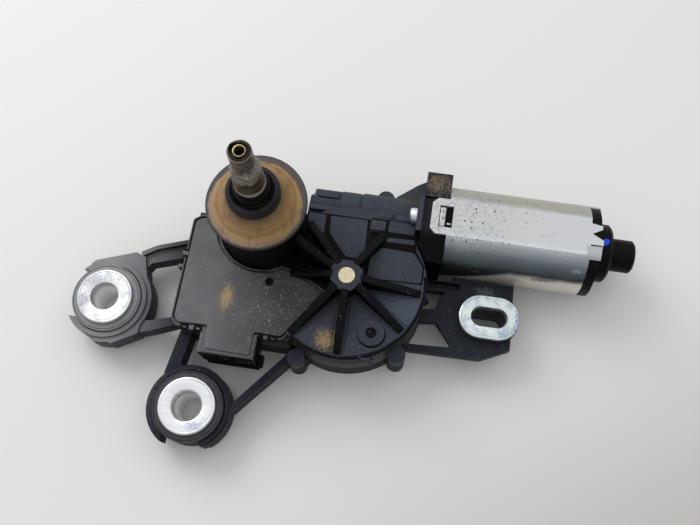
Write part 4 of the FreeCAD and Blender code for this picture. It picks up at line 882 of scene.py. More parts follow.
@dataclass(frozen=True)
class WeatheredShaft(Recipe):
    """Brown worn steel: a smooth cone, a pale crust over it and a bronze-brown thread."""

    name: str = "weathered_shaft"
    cone_low: float = 68.4
    cone_top: float = 81.0
    smooth: tuple[Colour, Colour] = ((0.07, 0.057, 0.036), (0.15, 0.128, 0.096))
    shoulder: tuple[Colour, Colour] = ((0.065, 0.052, 0.038), (0.2, 0.175, 0.14))
    coil: tuple[Colour, Colour] = ((0.01, 0.008, 0.006), (0.14, 0.122, 0.096))
    coil_radii: tuple[float, float] = (3.3, 3.8)
    crust: Colour = (0.42, 0.4, 0.37)
    pit: Colour = (0.02, 0.014, 0.01)
    gloss: float = field(default=0.4, kw_only=True)

    def paint(self, finish: Finish) -> None:
        """Connect the cone's and the thread's browns, the crust and the pits.

        Args:
            finish: The material under construction.
        """
        tree, effects = finish.tree, finish.effects
        top = self.cone_top
        height = finish.coordinate(2)
        cloud = tree.noise(finish.place, 0.35, 6.0)
        level = tree.math("ADD", height, tree.spread(cloud, -1.5, 1.5))
        brown = tree.span(cloud, 0.35, 0.65)
        coil = tree.mix(tree.span(tree.flat_length(finish.place), *self.coil_radii), *self.coil)
        coiled = tree.span(height, top + 0.5, top + 1.2, 0.0, 0.95)
        thread = tree.mix(coiled, tree.mix(brown, *self.shoulder), coil)
        above_cone = tree.span(level, top - 2.0, top + 1.0)
        base = tree.mix(above_cone, tree.mix(brown, *self.smooth), thread)
        rise = tree.span(level, top - 5.2, top - 2.6)
        fall = tree.span(level, top + 1.2, top - 0.3)
        flakes = tree.span(tree.noise(finish.place, 2.6, 6.0), 0.4, 0.62)
        crust = tree.times(tree.times(rise, fall), flakes)
        crumbs = tree.span(tree.noise(finish.place, 2.2, 5.0), 0.6, 0.66)
        upper = tree.times(tree.span(height, top + 1.0, top + 3.0), 0.15)
        crust = tree.most(crust, tree.times(crumbs, upper))
        foot = tree.span(height, self.cone_low + 2.0, self.cone_low + 1.2)
        crust = tree.most(crust, tree.times(foot, 0.55))
        pits = finish.use(effects.specks, Spacing=0.8, Share=0.4, Size=0.36)
        base = tree.mix(tree.times(pits, 0.8), tree.mix(crust, base, self.crust), self.pit)
        finish.set("Base Color", base)
        finish.set("Metallic", tree.span(tree.most(crust, pits), 0.0, 0.8, 0.85, 0.05))
        rough = tree.spread(tree.noise(finish.place, 0.9, 4.0), 0.26, 0.5)
        finish.set("Roughness", tree.math("MULTIPLY_ADD", crust, 0.35, rough))
        pitted = tree.times(tree.noise(finish.place, 2.5, 6.0), 0.35)
        finish.bump(tree.math("ADD", crust, pitted), 0.1)


@dataclass
class Finishes:
    """Every material of the object, by the name of its finish."""

    effects: Effects = field(default_factory=Effects)
    built: dict[str, bpy.types.Material] = field(default_factory=dict)

    def get(self, recipe: Recipe) -> bpy.types.Material:
        """Give a recipe's material, built the first time it is asked for.

        Args:
            recipe: The finish's recipe.

        Returns:
            Its material.
        """
        if recipe.name not in self.built:
            self.built[recipe.name] = recipe.build(self.effects)
        return self.built[recipe.name]


# Finishes of the object

# Upright faces fade from a brownish tone low down to near-black above Z = 25: painted shade on the
# high walls.
HOUSING_PLASTIC = MouldedPlastic(
    "housing_plastic",
    (0.035, 0.04, 0.053),
    (0.06, 0.058, 0.05),
    gloss=0.12,
    far_colour=(0.035, 0.04, 0.053),
    far_side=(0.003, 0.003, 0.0035),
    fade=(12.0, 25.0),
    fade_axis=2,
    patches=(
        DirtAndLightPatch((29.5, -38.6, 27.0), (5.4, 5.2, 3.0), (0.2, 0.145, 0.085), 0.6, 0.7),
        DirtAndLightPatch((29.2, -38.8, 27.0), (4.4, 4.4, 3.0), (0.38, 0.27, 0.13), 0.8),
        DirtAndLightPatch((32.0, -27.0, 27.0), (1.8, 5.0, 3.0), (0.17, 0.15, 0.12), 0.4),
        DirtAndLightPatch((53.0, 20.0, 22.0), (6.0, 2.6, 6.0), (0.12, 0.09, 0.03), 0.7),
        # A pale bluish patch over the disc's lower right is painted light.
        DirtAndLightPatch((57.0, -24.0, 27.0), (13.0, 10.0, 4.0), (0.066, 0.078, 0.11), 0.85, 1.0),
    ),
)
# The cover is lighter towards its left end, a painted sheen, and its upright faces are near-black,
# painted shade.
COVER_PLASTIC = MouldedPlastic(
    "cover_plastic",
    (0.108, 0.108, 0.115),
    (0.003, 0.003, 0.0035),
    dust_colour=(0.42, 0.41, 0.39),
    dust_share=0.7,
    film=0.45,
    fade=(-20.0, 14.0),
    far_colour=(0.043, 0.043, 0.046),
    far_side=(0.003, 0.003, 0.0035),
    patches=(
        DirtAndLightPatch((-9.0, -29.6, 27.0), (4.2, 7.6, 3.0), (0.2, 0.155, 0.09), 0.5, 0.9),
        DirtAndLightPatch((-8.8, -28.6, 27.0), (2.7, 5.4, 3.0), (0.44, 0.32, 0.15), 0.75, 0.8),
    ),
)
# The base is pale at its left end and near-black from X = -24 on; its darker upright faces are
# painted shade.
BASE_PLASTIC = MouldedPlastic(
    "base_plastic",
    (0.215, 0.218, 0.225),
    (0.062, 0.062, 0.062),
    gloss=0.12,
    far_colour=(0.013, 0.015, 0.023),
    far_side=(0.004, 0.004, 0.005),
    fade=(-60.0, -24.0),
    # A lighter grey-blue patch on the bracket is painted light.
    patches=(DirtAndLightPatch((85.1, -8.7, 14.0), (5.0, 2.2, 3.0), (0.14, 0.14, 0.16), 0.7),),
)
# The flange's near-black front, up to Y = 3, and its near-black upright faces further back are
# painted shade.
FLANGE_PLASTIC = MouldedPlastic(
    "flange_plastic",
    (0.0015, 0.0015, 0.0015),
    (0.0015, 0.0015, 0.0015),
    roughness=0.36,
    gloss=0.04,
    film=0.1,
    far_colour=(0.022, 0.023, 0.029),
    far_side=(0.003, 0.003, 0.0035),
    fade=(3.0, 9.0),
    fade_axis=1,
    patches=(
        DirtAndLightPatch((62.0, 25.0, 31.0), (7.0, 6.0, 4.0), (0.19, 0.15, 0.1), 0.9),
        DirtAndLightPatch((59.0, 26.0, 30.0), (3.2, 3.5, 4.0), (0.2, 0.14, 0.04), 0.7),
        DirtAndLightPatch((57.5, 21.0, 26.0), (3.5, 4.5, 5.0), (0.2, 0.15, 0.05), 0.8),
    ),
)
CAP_PLASTIC = MouldedPlastic(
    "cap_plastic", (0.004, 0.004, 0.004), (0.004, 0.004, 0.004), dust_share=0.04,
    roughness=0.36, film=0.05, gloss=0.07,
)
# Near-black for the disc's ribs, the boss's ring and the dimple's ring: painted shade.
RIB_SHADE = MouldedPlastic(
    "rib_painted_shade", (0.0035, 0.0035, 0.004), (0.0025, 0.0025, 0.003), dust_share=0.1, film=0.15,
    gloss=0.08,
)
# Near-black for painted shade in the cover's slots and dimple, the disc's grooves and the motor's
# window, and for the connector's keys and foot.
DEEP_BLACK = MouldedPlastic(
    "deep_black", (0.0025, 0.0025, 0.003), (0.002, 0.002, 0.002), dust_share=0.02, film=0.05,
    gloss=0.06,
)
BLUE_PAINT = MouldedPlastic(
    "blue_paint", (0.01, 0.075, 0.75), (0.01, 0.07, 0.7), dust_share=0.0, roughness=0.3,
    depth=0.01, film=0.0,
)
INNER_PLASTIC = MouldedPlastic(
    "inner_plastic", (0.02, 0.02, 0.022), (0.015, 0.015, 0.016), dust_share=0.02
)
GEAR_PLASTIC = MouldedPlastic(
    "gear_plastic", (0.62, 0.59, 0.5), (0.55, 0.52, 0.44), dust_colour=(0.45, 0.36, 0.2),
    dust_share=0.03, roughness=0.38,
)
BOARD = MouldedPlastic(
    "board_laminate", (0.02, 0.11, 0.045), (0.1, 0.09, 0.05), dust_share=0.02, roughness=0.35
)
CARBON = MouldedPlastic("carbon", (0.03, 0.03, 0.03), (0.02, 0.02, 0.02), dust_share=0.05)
BLACK_RUBBER = Rubber("black_rubber", (0.014, 0.014, 0.016), bloom=(0.03, 0.03, 0.033))
# Pale grey rubber on the upper bush, mid grey on the lower, black on the slotted one.
BUSH_RUBBERS = {
    "upper": Rubber("pale_grey_rubber", (0.235, 0.237, 0.243), bloom=(0.28, 0.28, 0.288)),
    "lower": Rubber("mid_grey_rubber", (0.045, 0.045, 0.05), bloom=(0.075, 0.075, 0.08)),
    "slotted": BLACK_RUBBER,
}
COLLAR_RUBBER = Rubber(
    "collar_rubber", (0.007, 0.007, 0.011), bloom=(0.016, 0.016, 0.024), roughness=0.5
)
SEAL_RUBBER = DustySeal()
ZINC = Metal(
    "zinc_plate", (0.82, 0.84, 0.86), (0.62, 0.66, 0.74), roughness=0.22, speck_share=0.02,
)
CAN_STEEL = GalvanisedCan()
SHAFT_STEEL = WeatheredShaft()
PLAIN_STEEL = Metal("machined_steel", (0.5, 0.5, 0.5), (0.36, 0.35, 0.33), roughness=0.28)
DARK_STEEL = Metal("grimy_steel", (0.02, 0.019, 0.018), (0.008, 0.008, 0.008), roughness=0.5)
BRASS = Metal(
    "dusty_brass", (0.72, 0.62, 0.42), (0.5, 0.42, 0.26), roughness=0.4, speck_share=0.12,
    speck_colour=(0.2, 0.15, 0.08), metallic=0.6, tarnish_scale=0.9,
)
TIP_BRASS = Metal(
    "tip_brass", (0.55, 0.47, 0.27), (0.3, 0.22, 0.1), roughness=0.28, tarnish_scale=1.2,
)
SLEEVE_FINISHES = {
    "upper": Metal(
        "sleeve_zinc_upper", (0.63, 0.64, 0.65), (0.58, 0.595, 0.63), roughness=0.36,
        # The pale bore is painted light.
        bore=(16.4, 12.0, (0.95, 0.94, 0.92)),
        tarnish_range=(0.5, 0.7), tarnish_scale=0.3,
        patches=(
            DirtAndLightPatch((-62.0, -27.5, 18.0), (6.0, 4.2, 2.0), (0.4, 0.41, 0.46), 0.7, 0.4),
            DirtAndLightPatch((-64.5, -36.5, 18.0), (3.4, 5.5, 2.0), (0.38, 0.39, 0.46), 0.75, 0.4),
        ),
    ),
    "lower": Metal(
        "sleeve_zinc_lower", (0.77, 0.78, 0.79), (0.72, 0.73, 0.76), roughness=0.3,
        # The pale bore is painted light.
        bore=(16.4, 12.0, (0.86, 0.85, 0.83)),
        tarnish_range=(0.52, 0.72), tarnish_scale=0.3,
        patches=(DirtAndLightPatch((-12.8, -75.3, 18.0), (4.6, 2.6, 2.0), (0.36, 0.38, 0.56), 0.75, 0.2),),
    ),
    "slotted": Metal(
        "sleeve_zinc_slotted", (0.66, 0.705, 0.71), (0.45, 0.54, 0.58), roughness=0.27,
        tarnish_range=(0.42, 0.62), tarnish_scale=0.35, speck_share=0.12,
        patches=(
            DirtAndLightPatch((97.6, -20.5, 18.0), (1.6, 6.5, 2.0), (0.06, 0.1, 0.32), 0.85),
            DirtAndLightPatch((93.5, -24.5, 18.0), (4.5, 2.6, 2.0), (0.2, 0.33, 0.4), 0.6),
        ),
        # The near-black bore is painted shade.
        bore=(17.2, 15.0, (0.012, 0.013, 0.015)),
    ),
}
BRONZE = Metal("sintered_bronze", (0.2, 0.145, 0.075), (0.1, 0.07, 0.04), roughness=0.55)
# Bronze darkened nearly to black for the upper output bush: painted shade.
SHADED_BRONZE = Metal(
    "bronze_painted_shade", (0.03, 0.024, 0.018), (0.018, 0.015, 0.012), roughness=0.5
)
COPPER = Metal("enamelled_copper", (0.66, 0.3, 0.14), (0.42, 0.18, 0.08), roughness=0.25)
FERRITE = Metal("ferrite", (0.06, 0.06, 0.065), (0.04, 0.04, 0.045), roughness=0.6, metallic=0.3)
ALUMINIUM = Metal("aluminium_can", (0.75, 0.75, 0.76), (0.6, 0.6, 0.62), roughness=0.3)

CAD_FINISHES = {
    name: recipe
    for recipe, names in (
        (HOUSING_PLASTIC, ("gear_housing",)),
        (BASE_PLASTIC, ("mounting_base",)),
        (COVER_PLASTIC, ("electronics_cover", "connector_shroud")),
        (FLANGE_PLASTIC, ("motor_flange",)),
        (CAP_PLASTIC, ("motor_end_cap",)),
        (INNER_PLASTIC, ("relay", "brush_holder")),
        (GEAR_PLASTIC, ("worm_wheel",)),
        (BOARD, ("circuit_board",)),
        (CARBON, ("brushes",)),
        (BLACK_RUBBER, ("grommet_upper", "grommet_lower", "grommet_slotted")),
        (SEAL_RUBBER, ("shaft_seal",)),
        (COLLAR_RUBBER, ("seal_collar",)),
        (CAN_STEEL, ("motor_can",)),
        (SHAFT_STEEL, ("output_shaft",)),
        (DARK_STEEL, ("stop_washer", "circlip")),
        (BRASS, ("wheel_axle",)),
        (BRONZE, ("output_bush_lower", "front_bearing", "rear_bearing", "thrust_bush")),
        (SHADED_BRONZE, ("output_bush_upper",)),
        (COPPER, ("choke", "winding_front", "winding_rear", "commutator")),
        (FERRITE, ("magnet_back", "magnet_front")),
        (ALUMINIUM, ("capacitor",)),
        (
            ZINC,
            ("motor_screws", "sleeve_upper", "sleeve_lower", "sleeve_slotted", "connector_pins"),
        ),
        (
            PLAIN_STEEL,
            (
                "housing_screws", "axle_clip", "crank_pin", "guide_link", "sector_rod",
                "output_pinion", "armature_shaft", "armature_core", "thrust_ball",
                "brush_springs",
            ),
        ),
    )
    for name in names
}
UPPER_BUSH: Point2 = (-56.7, -32.9)
LOWER_BUSH: Point2 = (-17.0, -68.4)
SLOTTED_BUSH: Point2 = (87.3, -19.3)


# Outlines and meshes

# The most of an edge that the rounding of one of its corners takes.
ROUNDED_SHARE = 0.45
# Points that are nearer than this are one point.
SAME_POINT = 1e-4


def arc(
    centre: Point2, radius: float, start: float, end: float, steps: int = 24
) -> list[Point2]:
    """Give points on an arc.

    Args:
        centre: The arc's centre.
        radius: Its radius.
        start: The angle it starts at, in degrees.
        end: The angle it ends at, in degrees.
        steps: How many steps it is divided into.

    Returns:
        The points, both ends included.
    """
    turns = [math.radians(start + (end - start) * step / steps) for step in range(steps + 1)]
    return [
        (centre[0] + radius * math.cos(turn), centre[1] + radius * math.sin(turn))
        for turn in turns
    ]


def rounded(outline: Sequence[Point2], radius: float, steps: int = 3) -> list[Point2]:
    """Round the corners of a closed outline.

    Args:
        outline: The outline's corners.
        radius: How far from each corner the rounding starts, at most.
        steps: How many steps each rounding has.

    Returns:
        The rounded outline's points.
    """
    points: list[Point2] = []
    count = len(outline)
    for index, corner in enumerate(outline):
        here = Vector(corner)
        before = Vector(outline[index - 1])
        after = Vector(outline[(index + 1) % count])
        shorter = min((before - here).length, (after - here).length)
        reach = min(radius, shorter * ROUNDED_SHARE)
        start = here + (before - here).normalized() * reach
        end = here + (after - here).normalized() * reach
        for step in range(steps + 1):
            share = step / steps
            bend = start.lerp(here, share).lerp(here.lerp(end, share), share)
            points.append((bend.x, bend.y))
    return points


def inset(outline: Sequence[Point2], depth: float) -> list[Point2]:
    """Move a closed outline inwards.

    Args:
        outline: The outline's points, anticlockwise.
        depth: How far it moves.

    Returns:
        As many points, moved.
    """
    if not depth:
        return list(outline)
    moved: list[Point2] = []
    count = len(outline)
    for index, point in enumerate(outline):
        here = Vector(point)
        first = (here - Vector(outline[index - 1])).normalized()
        second = (Vector(outline[(index + 1) % count]) - here).normalized()
        inward = Vector((-first.y - second.y, first.x + second.x))
        across = Vector((-first.y, first.x))
        if inward.length < 1e-6:
            inward = across.copy()
        inward.normalize()
        share = max(0.5, inward.dot(across))
        spot = here + inward * depth / share
        moved.append((spot.x, spot.y))
    return moved


class Shape:
    """A mesh under construction, in millimetres."""

    def __init__(self) -> None:
        """Start with an empty mesh."""
        self.mesh = bmesh.new()

    def faces_from(self, rings: Sequence[Sequence[Point3]], closed: bool = True) -> "Shape":
        """Join rings of equally many points with quads.

        Args:
            rings: The rings, in order.
            closed: Whether the last ring joins the first.

        Returns:
            This shape.
        """
        grid = [[self.mesh.verts.new(point) for point in ring] for ring in rings]
        count = len(grid[0])
        following = grid[1:] + (grid[:1] if closed else [])
        for lower, upper in zip(grid, following):
            for index in range(count):
                after = (index + 1) % count
                self.mesh.faces.new((lower[index], lower[after], upper[after], upper[index]))
        return self

    def cap(self, ring: Sequence[Point3]) -> "Shape":
        """Fill a ring of points with one face.

        Args:
            ring: The points, in order.

        Returns:
            This shape.
        """
        self.mesh.faces.new([self.mesh.verts.new(point) for point in ring])
        return self

    def _loft(self, rings: Sequence[Sequence[Point3]]) -> "Shape":
        """Join rings and fill the first and the last.

        Args:
            rings: The rings, in order.

        Returns:
            This shape.
        """
        return self.faces_from(rings, closed=False).cap(rings[0]).cap(rings[-1])

    def prism(self, outline: Sequence[Point2], low: float, high: float) -> "Shape":
        """Add an upright prism.

        Args:
            outline: Its outline from above, anticlockwise.
            low: The height of its foot.
            high: The height of its top.

        Returns:
            This shape.
        """
        return self._loft([[(x, y, z) for x, y in outline] for z in (low, high)])

    def block(self, sides: Sides, low: float, high: float) -> "Shape":
        """Add an upright block whose sides lie along X and Y.

        Args:
            sides: Its left and right end and its front and back.
            low: The height of its foot.
            high: The height of its top.

        Returns:
            This shape.
        """
        left, right, front, back = sides
        return self.prism([(left, front), (right, front), (right, back), (left, back)], low, high)

    def turned(
        self,
        profile: Sequence[Point2],
        centre: Point3 = (0.0, 0.0, 0.0),
        along: Along = Along.UP,
        stretch: float = 0.0,
        steps: int = 96,
        closed: bool = True,
        shift: Optional[Callable[[float, float, float], Point2]] = None,
    ) -> "Shape":
        """Add a piece that is turned about an axis.

        Args:
            profile: Radius and height of each point.
            centre: The axis's foot.
            along: The axis's direction.
            stretch: Half the length added along X, which makes a round piece oblong.
            steps: How many steps the turn has.
            closed: Whether the profile closes on itself; if not, both its ends are on the axis.
            shift: Gives a new radius and height for an angle, a radius and a height.

        Returns:
            This shape.
        """
        rings = []
        for radius, height in profile:
            ring = []
            for step in range(steps):
                turn = math.tau * step / steps
                reach, rise = shift(turn, radius, height) if shift else (radius, height)
                push = stretch if math.cos(turn) >= 0 else -stretch
                spot = (reach * math.cos(turn) + push, reach * math.sin(turn), rise)
                if along is Along.MOTOR:
                    spot = (spot[2], spot[0], spot[1])
                ring.append(tuple(a + b for a, b in zip(spot, centre)))
            rings.append(ring)
        return self.faces_from(rings, closed)

    def stepped(
        self, outline: Sequence[Point2], steps: Sequence[Point2], rounding: float
    ) -> "Shape":
        """Add a plate whose edge runs through steps.

        Args:
            outline: Its outline from above, anticlockwise, with sharp corners.
            steps: How far inside the outline each step lies, and its height, from foot to top.
            rounding: How far from each corner its rounding starts.

        Returns:
            This shape.
        """
        rings = [
            [(x, y, height) for x, y in rounded(inset(outline, depth), rounding)]
            for depth, height in steps
        ]
        return self._loft(rings)

    def bar(self, profile: Sequence[Point2], start: float, end: float) -> "Shape":
        """Add a bar along X.

        Args:
            profile: Y and Z of each corner of its section.
            start: Where it starts.
            end: Where it ends.

        Returns:
            This shape.
        """
        return self._loft([[(x, y, z) for y, z in profile] for x in (start, end)])

    def wedge(
        self, side: Sequence[Point2], width: float, centre: Point2, turn: float
    ) -> "Shape":
        """Add an upright wedge that points away from an axis.

        Args:
            side: Distance from the axis and height of each corner.
            width: The wedge's width.
            centre: Where the axis stands.
            turn: The direction it points in, in degrees.

        Returns:
            This shape.
        """
        angle = math.radians(turn)
        out = Vector((math.cos(angle), math.sin(angle)))
        across = Vector((-out.y, out.x)) * width / 2
        rings = []
        for edge in (-across, across):
            spots = [Vector(centre) + out * reach + edge for reach, _ in side]
            rings.append([(spot.x, spot.y, z) for spot, (_, z) in zip(spots, side)])
        return self._loft(rings)

    def _join(self) -> None:
        """Merge points that lie on each other and turn every face outwards."""
        bmesh.ops.remove_doubles(self.mesh, verts=self.mesh.verts, dist=SAME_POINT)
        bmesh.ops.recalc_face_normals(self.mesh, faces=self.mesh.faces)

    def soften(self, width: float, limit: float = 30.0) -> "Shape":
        """Round the edges that are sharper than a limit.

        Args:
            width: The rounding's width.
            limit: The least angle between two faces, in degrees.

        Returns:
            This shape.
        """
        self._join()
        sharp = [
            edge
            for edge in self.mesh.edges
            if len(edge.link_faces) == 2 and edge.calc_face_angle(0.0) > math.radians(limit)
        ]
        bmesh.ops.bevel(
            self.mesh, geom=sharp, offset=width, segments=2, affect="EDGES", profile=0.5,
            clamp_overlap=True,
        )
        return self

    def finish(
        self,
        name: str,
        material: bpy.types.Material,
        body: Body = Body.HOUSING,
        smooth: float = 35.0,
    ) -> bpy.types.Object:
        """Turn the shape into a piece that rides on a body.

        Args:
            name: The piece's name.
            material: Its material.
            body: The body it moves with.
            smooth: Edges sharper than this angle, in degrees, stay sharp.

        Returns:
            The piece.
        """
        self._join()
        bmesh.ops.scale(self.mesh, vec=(MM, MM, MM), verts=self.mesh.verts)
        data = bpy.data.meshes.new(name)
        self.mesh.to_mesh(data)
        self.mesh.free()
        data.polygons.foreach_set("use_smooth", [True] * len(data.polygons))
        data.set_sharp_from_angle(angle=math.radians(smooth))
        data.materials.append(material)
        piece = bpy.data.objects.new(name, data)
        bpy.context.scene.collection.objects.link(piece)
        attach(piece, body.value)
        # Blender adds a number to a name that a material of the frame has already.
        LOG.info("%s: %d faces on %s", name, len(data.polygons), body.value)
        return piece


# Sub-assemblies


@dataclass
class CarriedNodes:
    """The CAD nodes that stay as they are, with their finishes and softened edges."""

    soft_edges: dict[str, float] = field(
        default_factory=lambda: {
            "gear_housing": 0.35,
            "mounting_base": 0.35,
            "motor_flange": 0.4,
            "connector_shroud": 0.25,
            "electronics_cover": 0.25,
            "motor_end_cap": 0.35,
            "motor_can": 0.3,
        }
    )
    flatness: float = 0.5
    sharpness: float = 40.0

    def dress(self, finishes: Finishes) -> None:
        """Give each CAD node its material, and soften the edges of the ones in view.

        Args:
            finishes: The materials.
        """
        for name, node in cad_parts.items():
            node.data.materials.clear()
            node.data.materials.append(finishes.get(CAD_FINISHES[name]))
            if name in self.soft_edges:
                self._soften(node, self.soft_edges[name])

    def _soften(self, node: bpy.types.Object, width: float) -> None:
        """Add modifiers that merge a node's flat faces and round its edges.

        Args:
            node: The node.
            width: How far the rounding reaches from each edge.
        """
        merge = node.modifiers.new("merge_flats", "DECIMATE")
        merge.decimate_type = "DISSOLVE"
        merge.angle_limit = math.radians(self.flatness)
        bevel = node.modifiers.new("round_edges", "BEVEL")
        bevel.width = width * MM
        bevel.segments = 2
        bevel.limit_method = "ANGLE"
        bevel.angle_limit = math.radians(self.sharpness)
        bevel.harden_normals = True
        bevel.use_clamp_overlap = True


@dataclass
class ShaftSeal:
    """The rubber umbrella that closes the tower round the shaft, and its collar."""

    dish: tuple[Point2, ...] = (
        (9.2, 58.7), (9.6, 57.9), (10.2, 56.9), (11.1, 55.7), (12.1, 54.7), (13.0, 54.0),
        (13.5, 53.75), (13.8, 53.5), (14.2, 53.35), (14.8, 53.1), (15.6, 52.8), (16.2, 52.65),
        (16.45, 52.5), (16.7, 52.62), (17.15, 52.5), (17.5, 52.2), (17.7, 51.7), (17.75, 51.2),
        (17.6, 50.6), (17.25, 50.2), (16.7, 50.1), (15.9, 50.5), (14.2, 51.2), (12.4, 52.3),
        (11.0, 53.7), (10.0, 55.2), (9.4, 56.8), (9.12, 57.1), (9.12, 58.3),
    )
    collar: tuple[Point2, ...] = (
        (6.5, 57.0), (9.1, 57.0), (9.3, 57.3), (9.3, 61.0), (9.22, 61.9), (8.95, 62.5),
        (8.5, 62.88), (7.95, 63.0), (7.5, 62.9), (7.25, 62.6), (7.1, 62.2), (6.85, 62.1),
        (6.65, 61.9), (6.5, 61.4), (6.5, 59.0),
    )
    even_to: float = 10.0
    rim: float = 17.75

    def build(self, finishes: Finishes) -> None:
        """Build the umbrella and the collar in place of their nodes.

        Args:
            finishes: The materials.
        """
        umbrella = Shape().turned(self.dish, steps=144, shift=self._settle)
        piece = umbrella.finish("seal_umbrella", finishes.get(SEAL_RUBBER), smooth=60)
        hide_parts("shaft_seal")
        ring = Shape().turned(self.collar)
        piece = ring.finish("seal_collar_ring", finishes.get(COLLAR_RUBBER), smooth=60)
        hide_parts("seal_collar")

    def _settle(self, turn: float, radius: float, height: float) -> Point2:
        """Give the rim the slight unevenness of old rubber.

        Args:
            turn: The angle about the shaft.
            radius: The distance from the shaft.
            height: The height.

        Returns:
            The new radius and height.
        """
        share = max(0.0, (radius - self.even_to) / (self.rim - self.even_to))
        wave = math.sin(2 * turn + 0.6) * 0.12 + math.sin(5 * turn) * 0.05
        return radius - 0.06 * share * math.sin(3 * turn), height + wave * share


@dataclass
class OutputShaft:
    """The output shaft with its knurled cone, worn thread and hollow tip."""

    foot: float = 4.2
    foot_low: float = 3.0
    pinion_gap: float = 0.05
    shoulder: float = 6.4
    shoulder_top: float = 11.85
    shank: float = 5.0
    groove: tuple[float, float] = (66.0, 67.16)
    groove_depth: float = 0.5
    cone_low: float = 68.4
    cone_top: float = 81.0
    cone: tuple[float, float] = (5.4, 4.7)
    cone_rows: int = 46
    knurls: int = 36
    knurl_depth: float = 0.07
    flaked_from: float = 0.45
    hole_reach: float = 2.65
    thread: float = 3.9
    thread_depth: float = 0.7
    thread_rows: int = 84
    pitch: float = 2.0
    tip: float = 91.5
    mouth: tuple[Point2, ...] = (
        (3.35, -0.5), (3.1, -0.4), (2.75, -0.45), (2.6, -1.2), (1.5, -1.3), (1.5, -5.0),
        (0.0, -5.6),
    )
    ring: tuple[Point2, ...] = (
        (1.45, -3.0), (2.05, -3.0), (2.05, -0.1), (1.97, 0.05), (1.8, 0.08), (1.6, -0.1),
        (1.5, -0.5),
    )
    lip_turn: float = 2.75
    lip_width: float = 0.45
    lip: Point2 = (0.3, 1.1)

    def build(self, finishes: Finishes) -> None:
        """Build the shaft in place of its node, and the ring in its tip.

        Args:
            finishes: The materials.
        """
        shaft = Shape().turned(self._profile(), steps=144, closed=False, shift=self._wear)
        piece = shaft.finish("weathered_output_shaft", finishes.get(SHAFT_STEEL), Body.OUTPUT, 50)
        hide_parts("output_shaft")
        ring = Shape().turned(self.ring, (0.0, 0.0, self.tip), steps=48)
        ring.finish("tip_ring", finishes.get(TIP_BRASS), Body.OUTPUT, 50)

    def _profile(self) -> list[Point2]:
        """Give the shaft's profile before wear, from its foot to the bottom of its hole.

        Returns:
            Radius and height of each point.
        """
        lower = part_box("output_pinion")[1][2] / MM + self.pinion_gap
        narrow = self.shank - self.groove_depth
        wide, slim = self.cone
        profile: list[Point2] = [
            (0.0, self.foot_low), (self.foot, self.foot_low), (self.foot, lower),
            (self.shoulder, lower), (self.shoulder, self.shoulder_top),
            (self.shank, self.shoulder_top), (self.shank, self.groove[0]),
            (narrow, self.groove[0]), (narrow, self.groove[1]), (self.shank, self.groove[1]),
            (wide - 0.15, self.cone_low - 0.1), (wide, self.cone_low + 0.15),
        ]
        for row in range(1, self.cone_rows):
            share = row / self.cone_rows
            height = self.cone_low + (self.cone_top - self.cone_low) * share
            profile.append((wide + (slim - wide) * share, height))
        profile += [(slim - 0.1, self.cone_top), (self.thread, self.cone_top + 0.35)]
        for row in range(self.thread_rows + 1):
            rise = (self.tip - 0.95 - self.cone_top) * row / self.thread_rows
            profile.append((self.thread, self.cone_top + 0.45 + rise))
        return profile + [(radius, self.tip + height) for radius, height in self.mouth]

    def _wear(self, turn: float, radius: float, height: float) -> Point2:
        """Cut the knurl and the thread, and roughen both.

        Args:
            turn: The angle about the shaft.
            radius: The distance from the shaft.
            height: The height.

        Returns:
            The new radius and height.
        """
        spot = Vector((math.cos(turn) * radius, math.sin(turn) * radius, height))
        rough = noise.noise(spot * 1.1)
        if height <= self.cone_low or radius < self.hole_reach:
            return radius, height
        if height < self.cone_top - 0.2:
            up = (height - self.cone_low) / (self.cone_top - self.cone_low)
            knurl = self.knurl_depth * math.sin(self.knurls * turn) * min(1.0, 4 * up)
            flake = max(0.0, rough + 0.1) * max(0.0, up - self.flaked_from)
            return radius + knurl + flake, height
        if height < self.cone_top + 0.4:
            return radius + rough * 0.35, height
        if height < self.tip - 0.4:
            phase = (height / self.pitch - turn / math.tau) % 1.0
            ridge = abs(phase - 0.5) * 2.0
            worn = 0.85 + 0.4 * noise.noise(spot * 0.45)
            fade = min(1.0, max(0.15, (self.tip - 1.6 - height) / 2.5))
            cut = self.thread_depth * worn * (1.0 - ridge) * fade
            return radius - cut + rough * 0.06, height
        lip = math.exp(-(((turn - self.lip_turn) / self.lip_width) ** 2))
        out, up = self.lip
        return radius + out * lip + rough * 0.1, height + up * lip + rough * 0.12


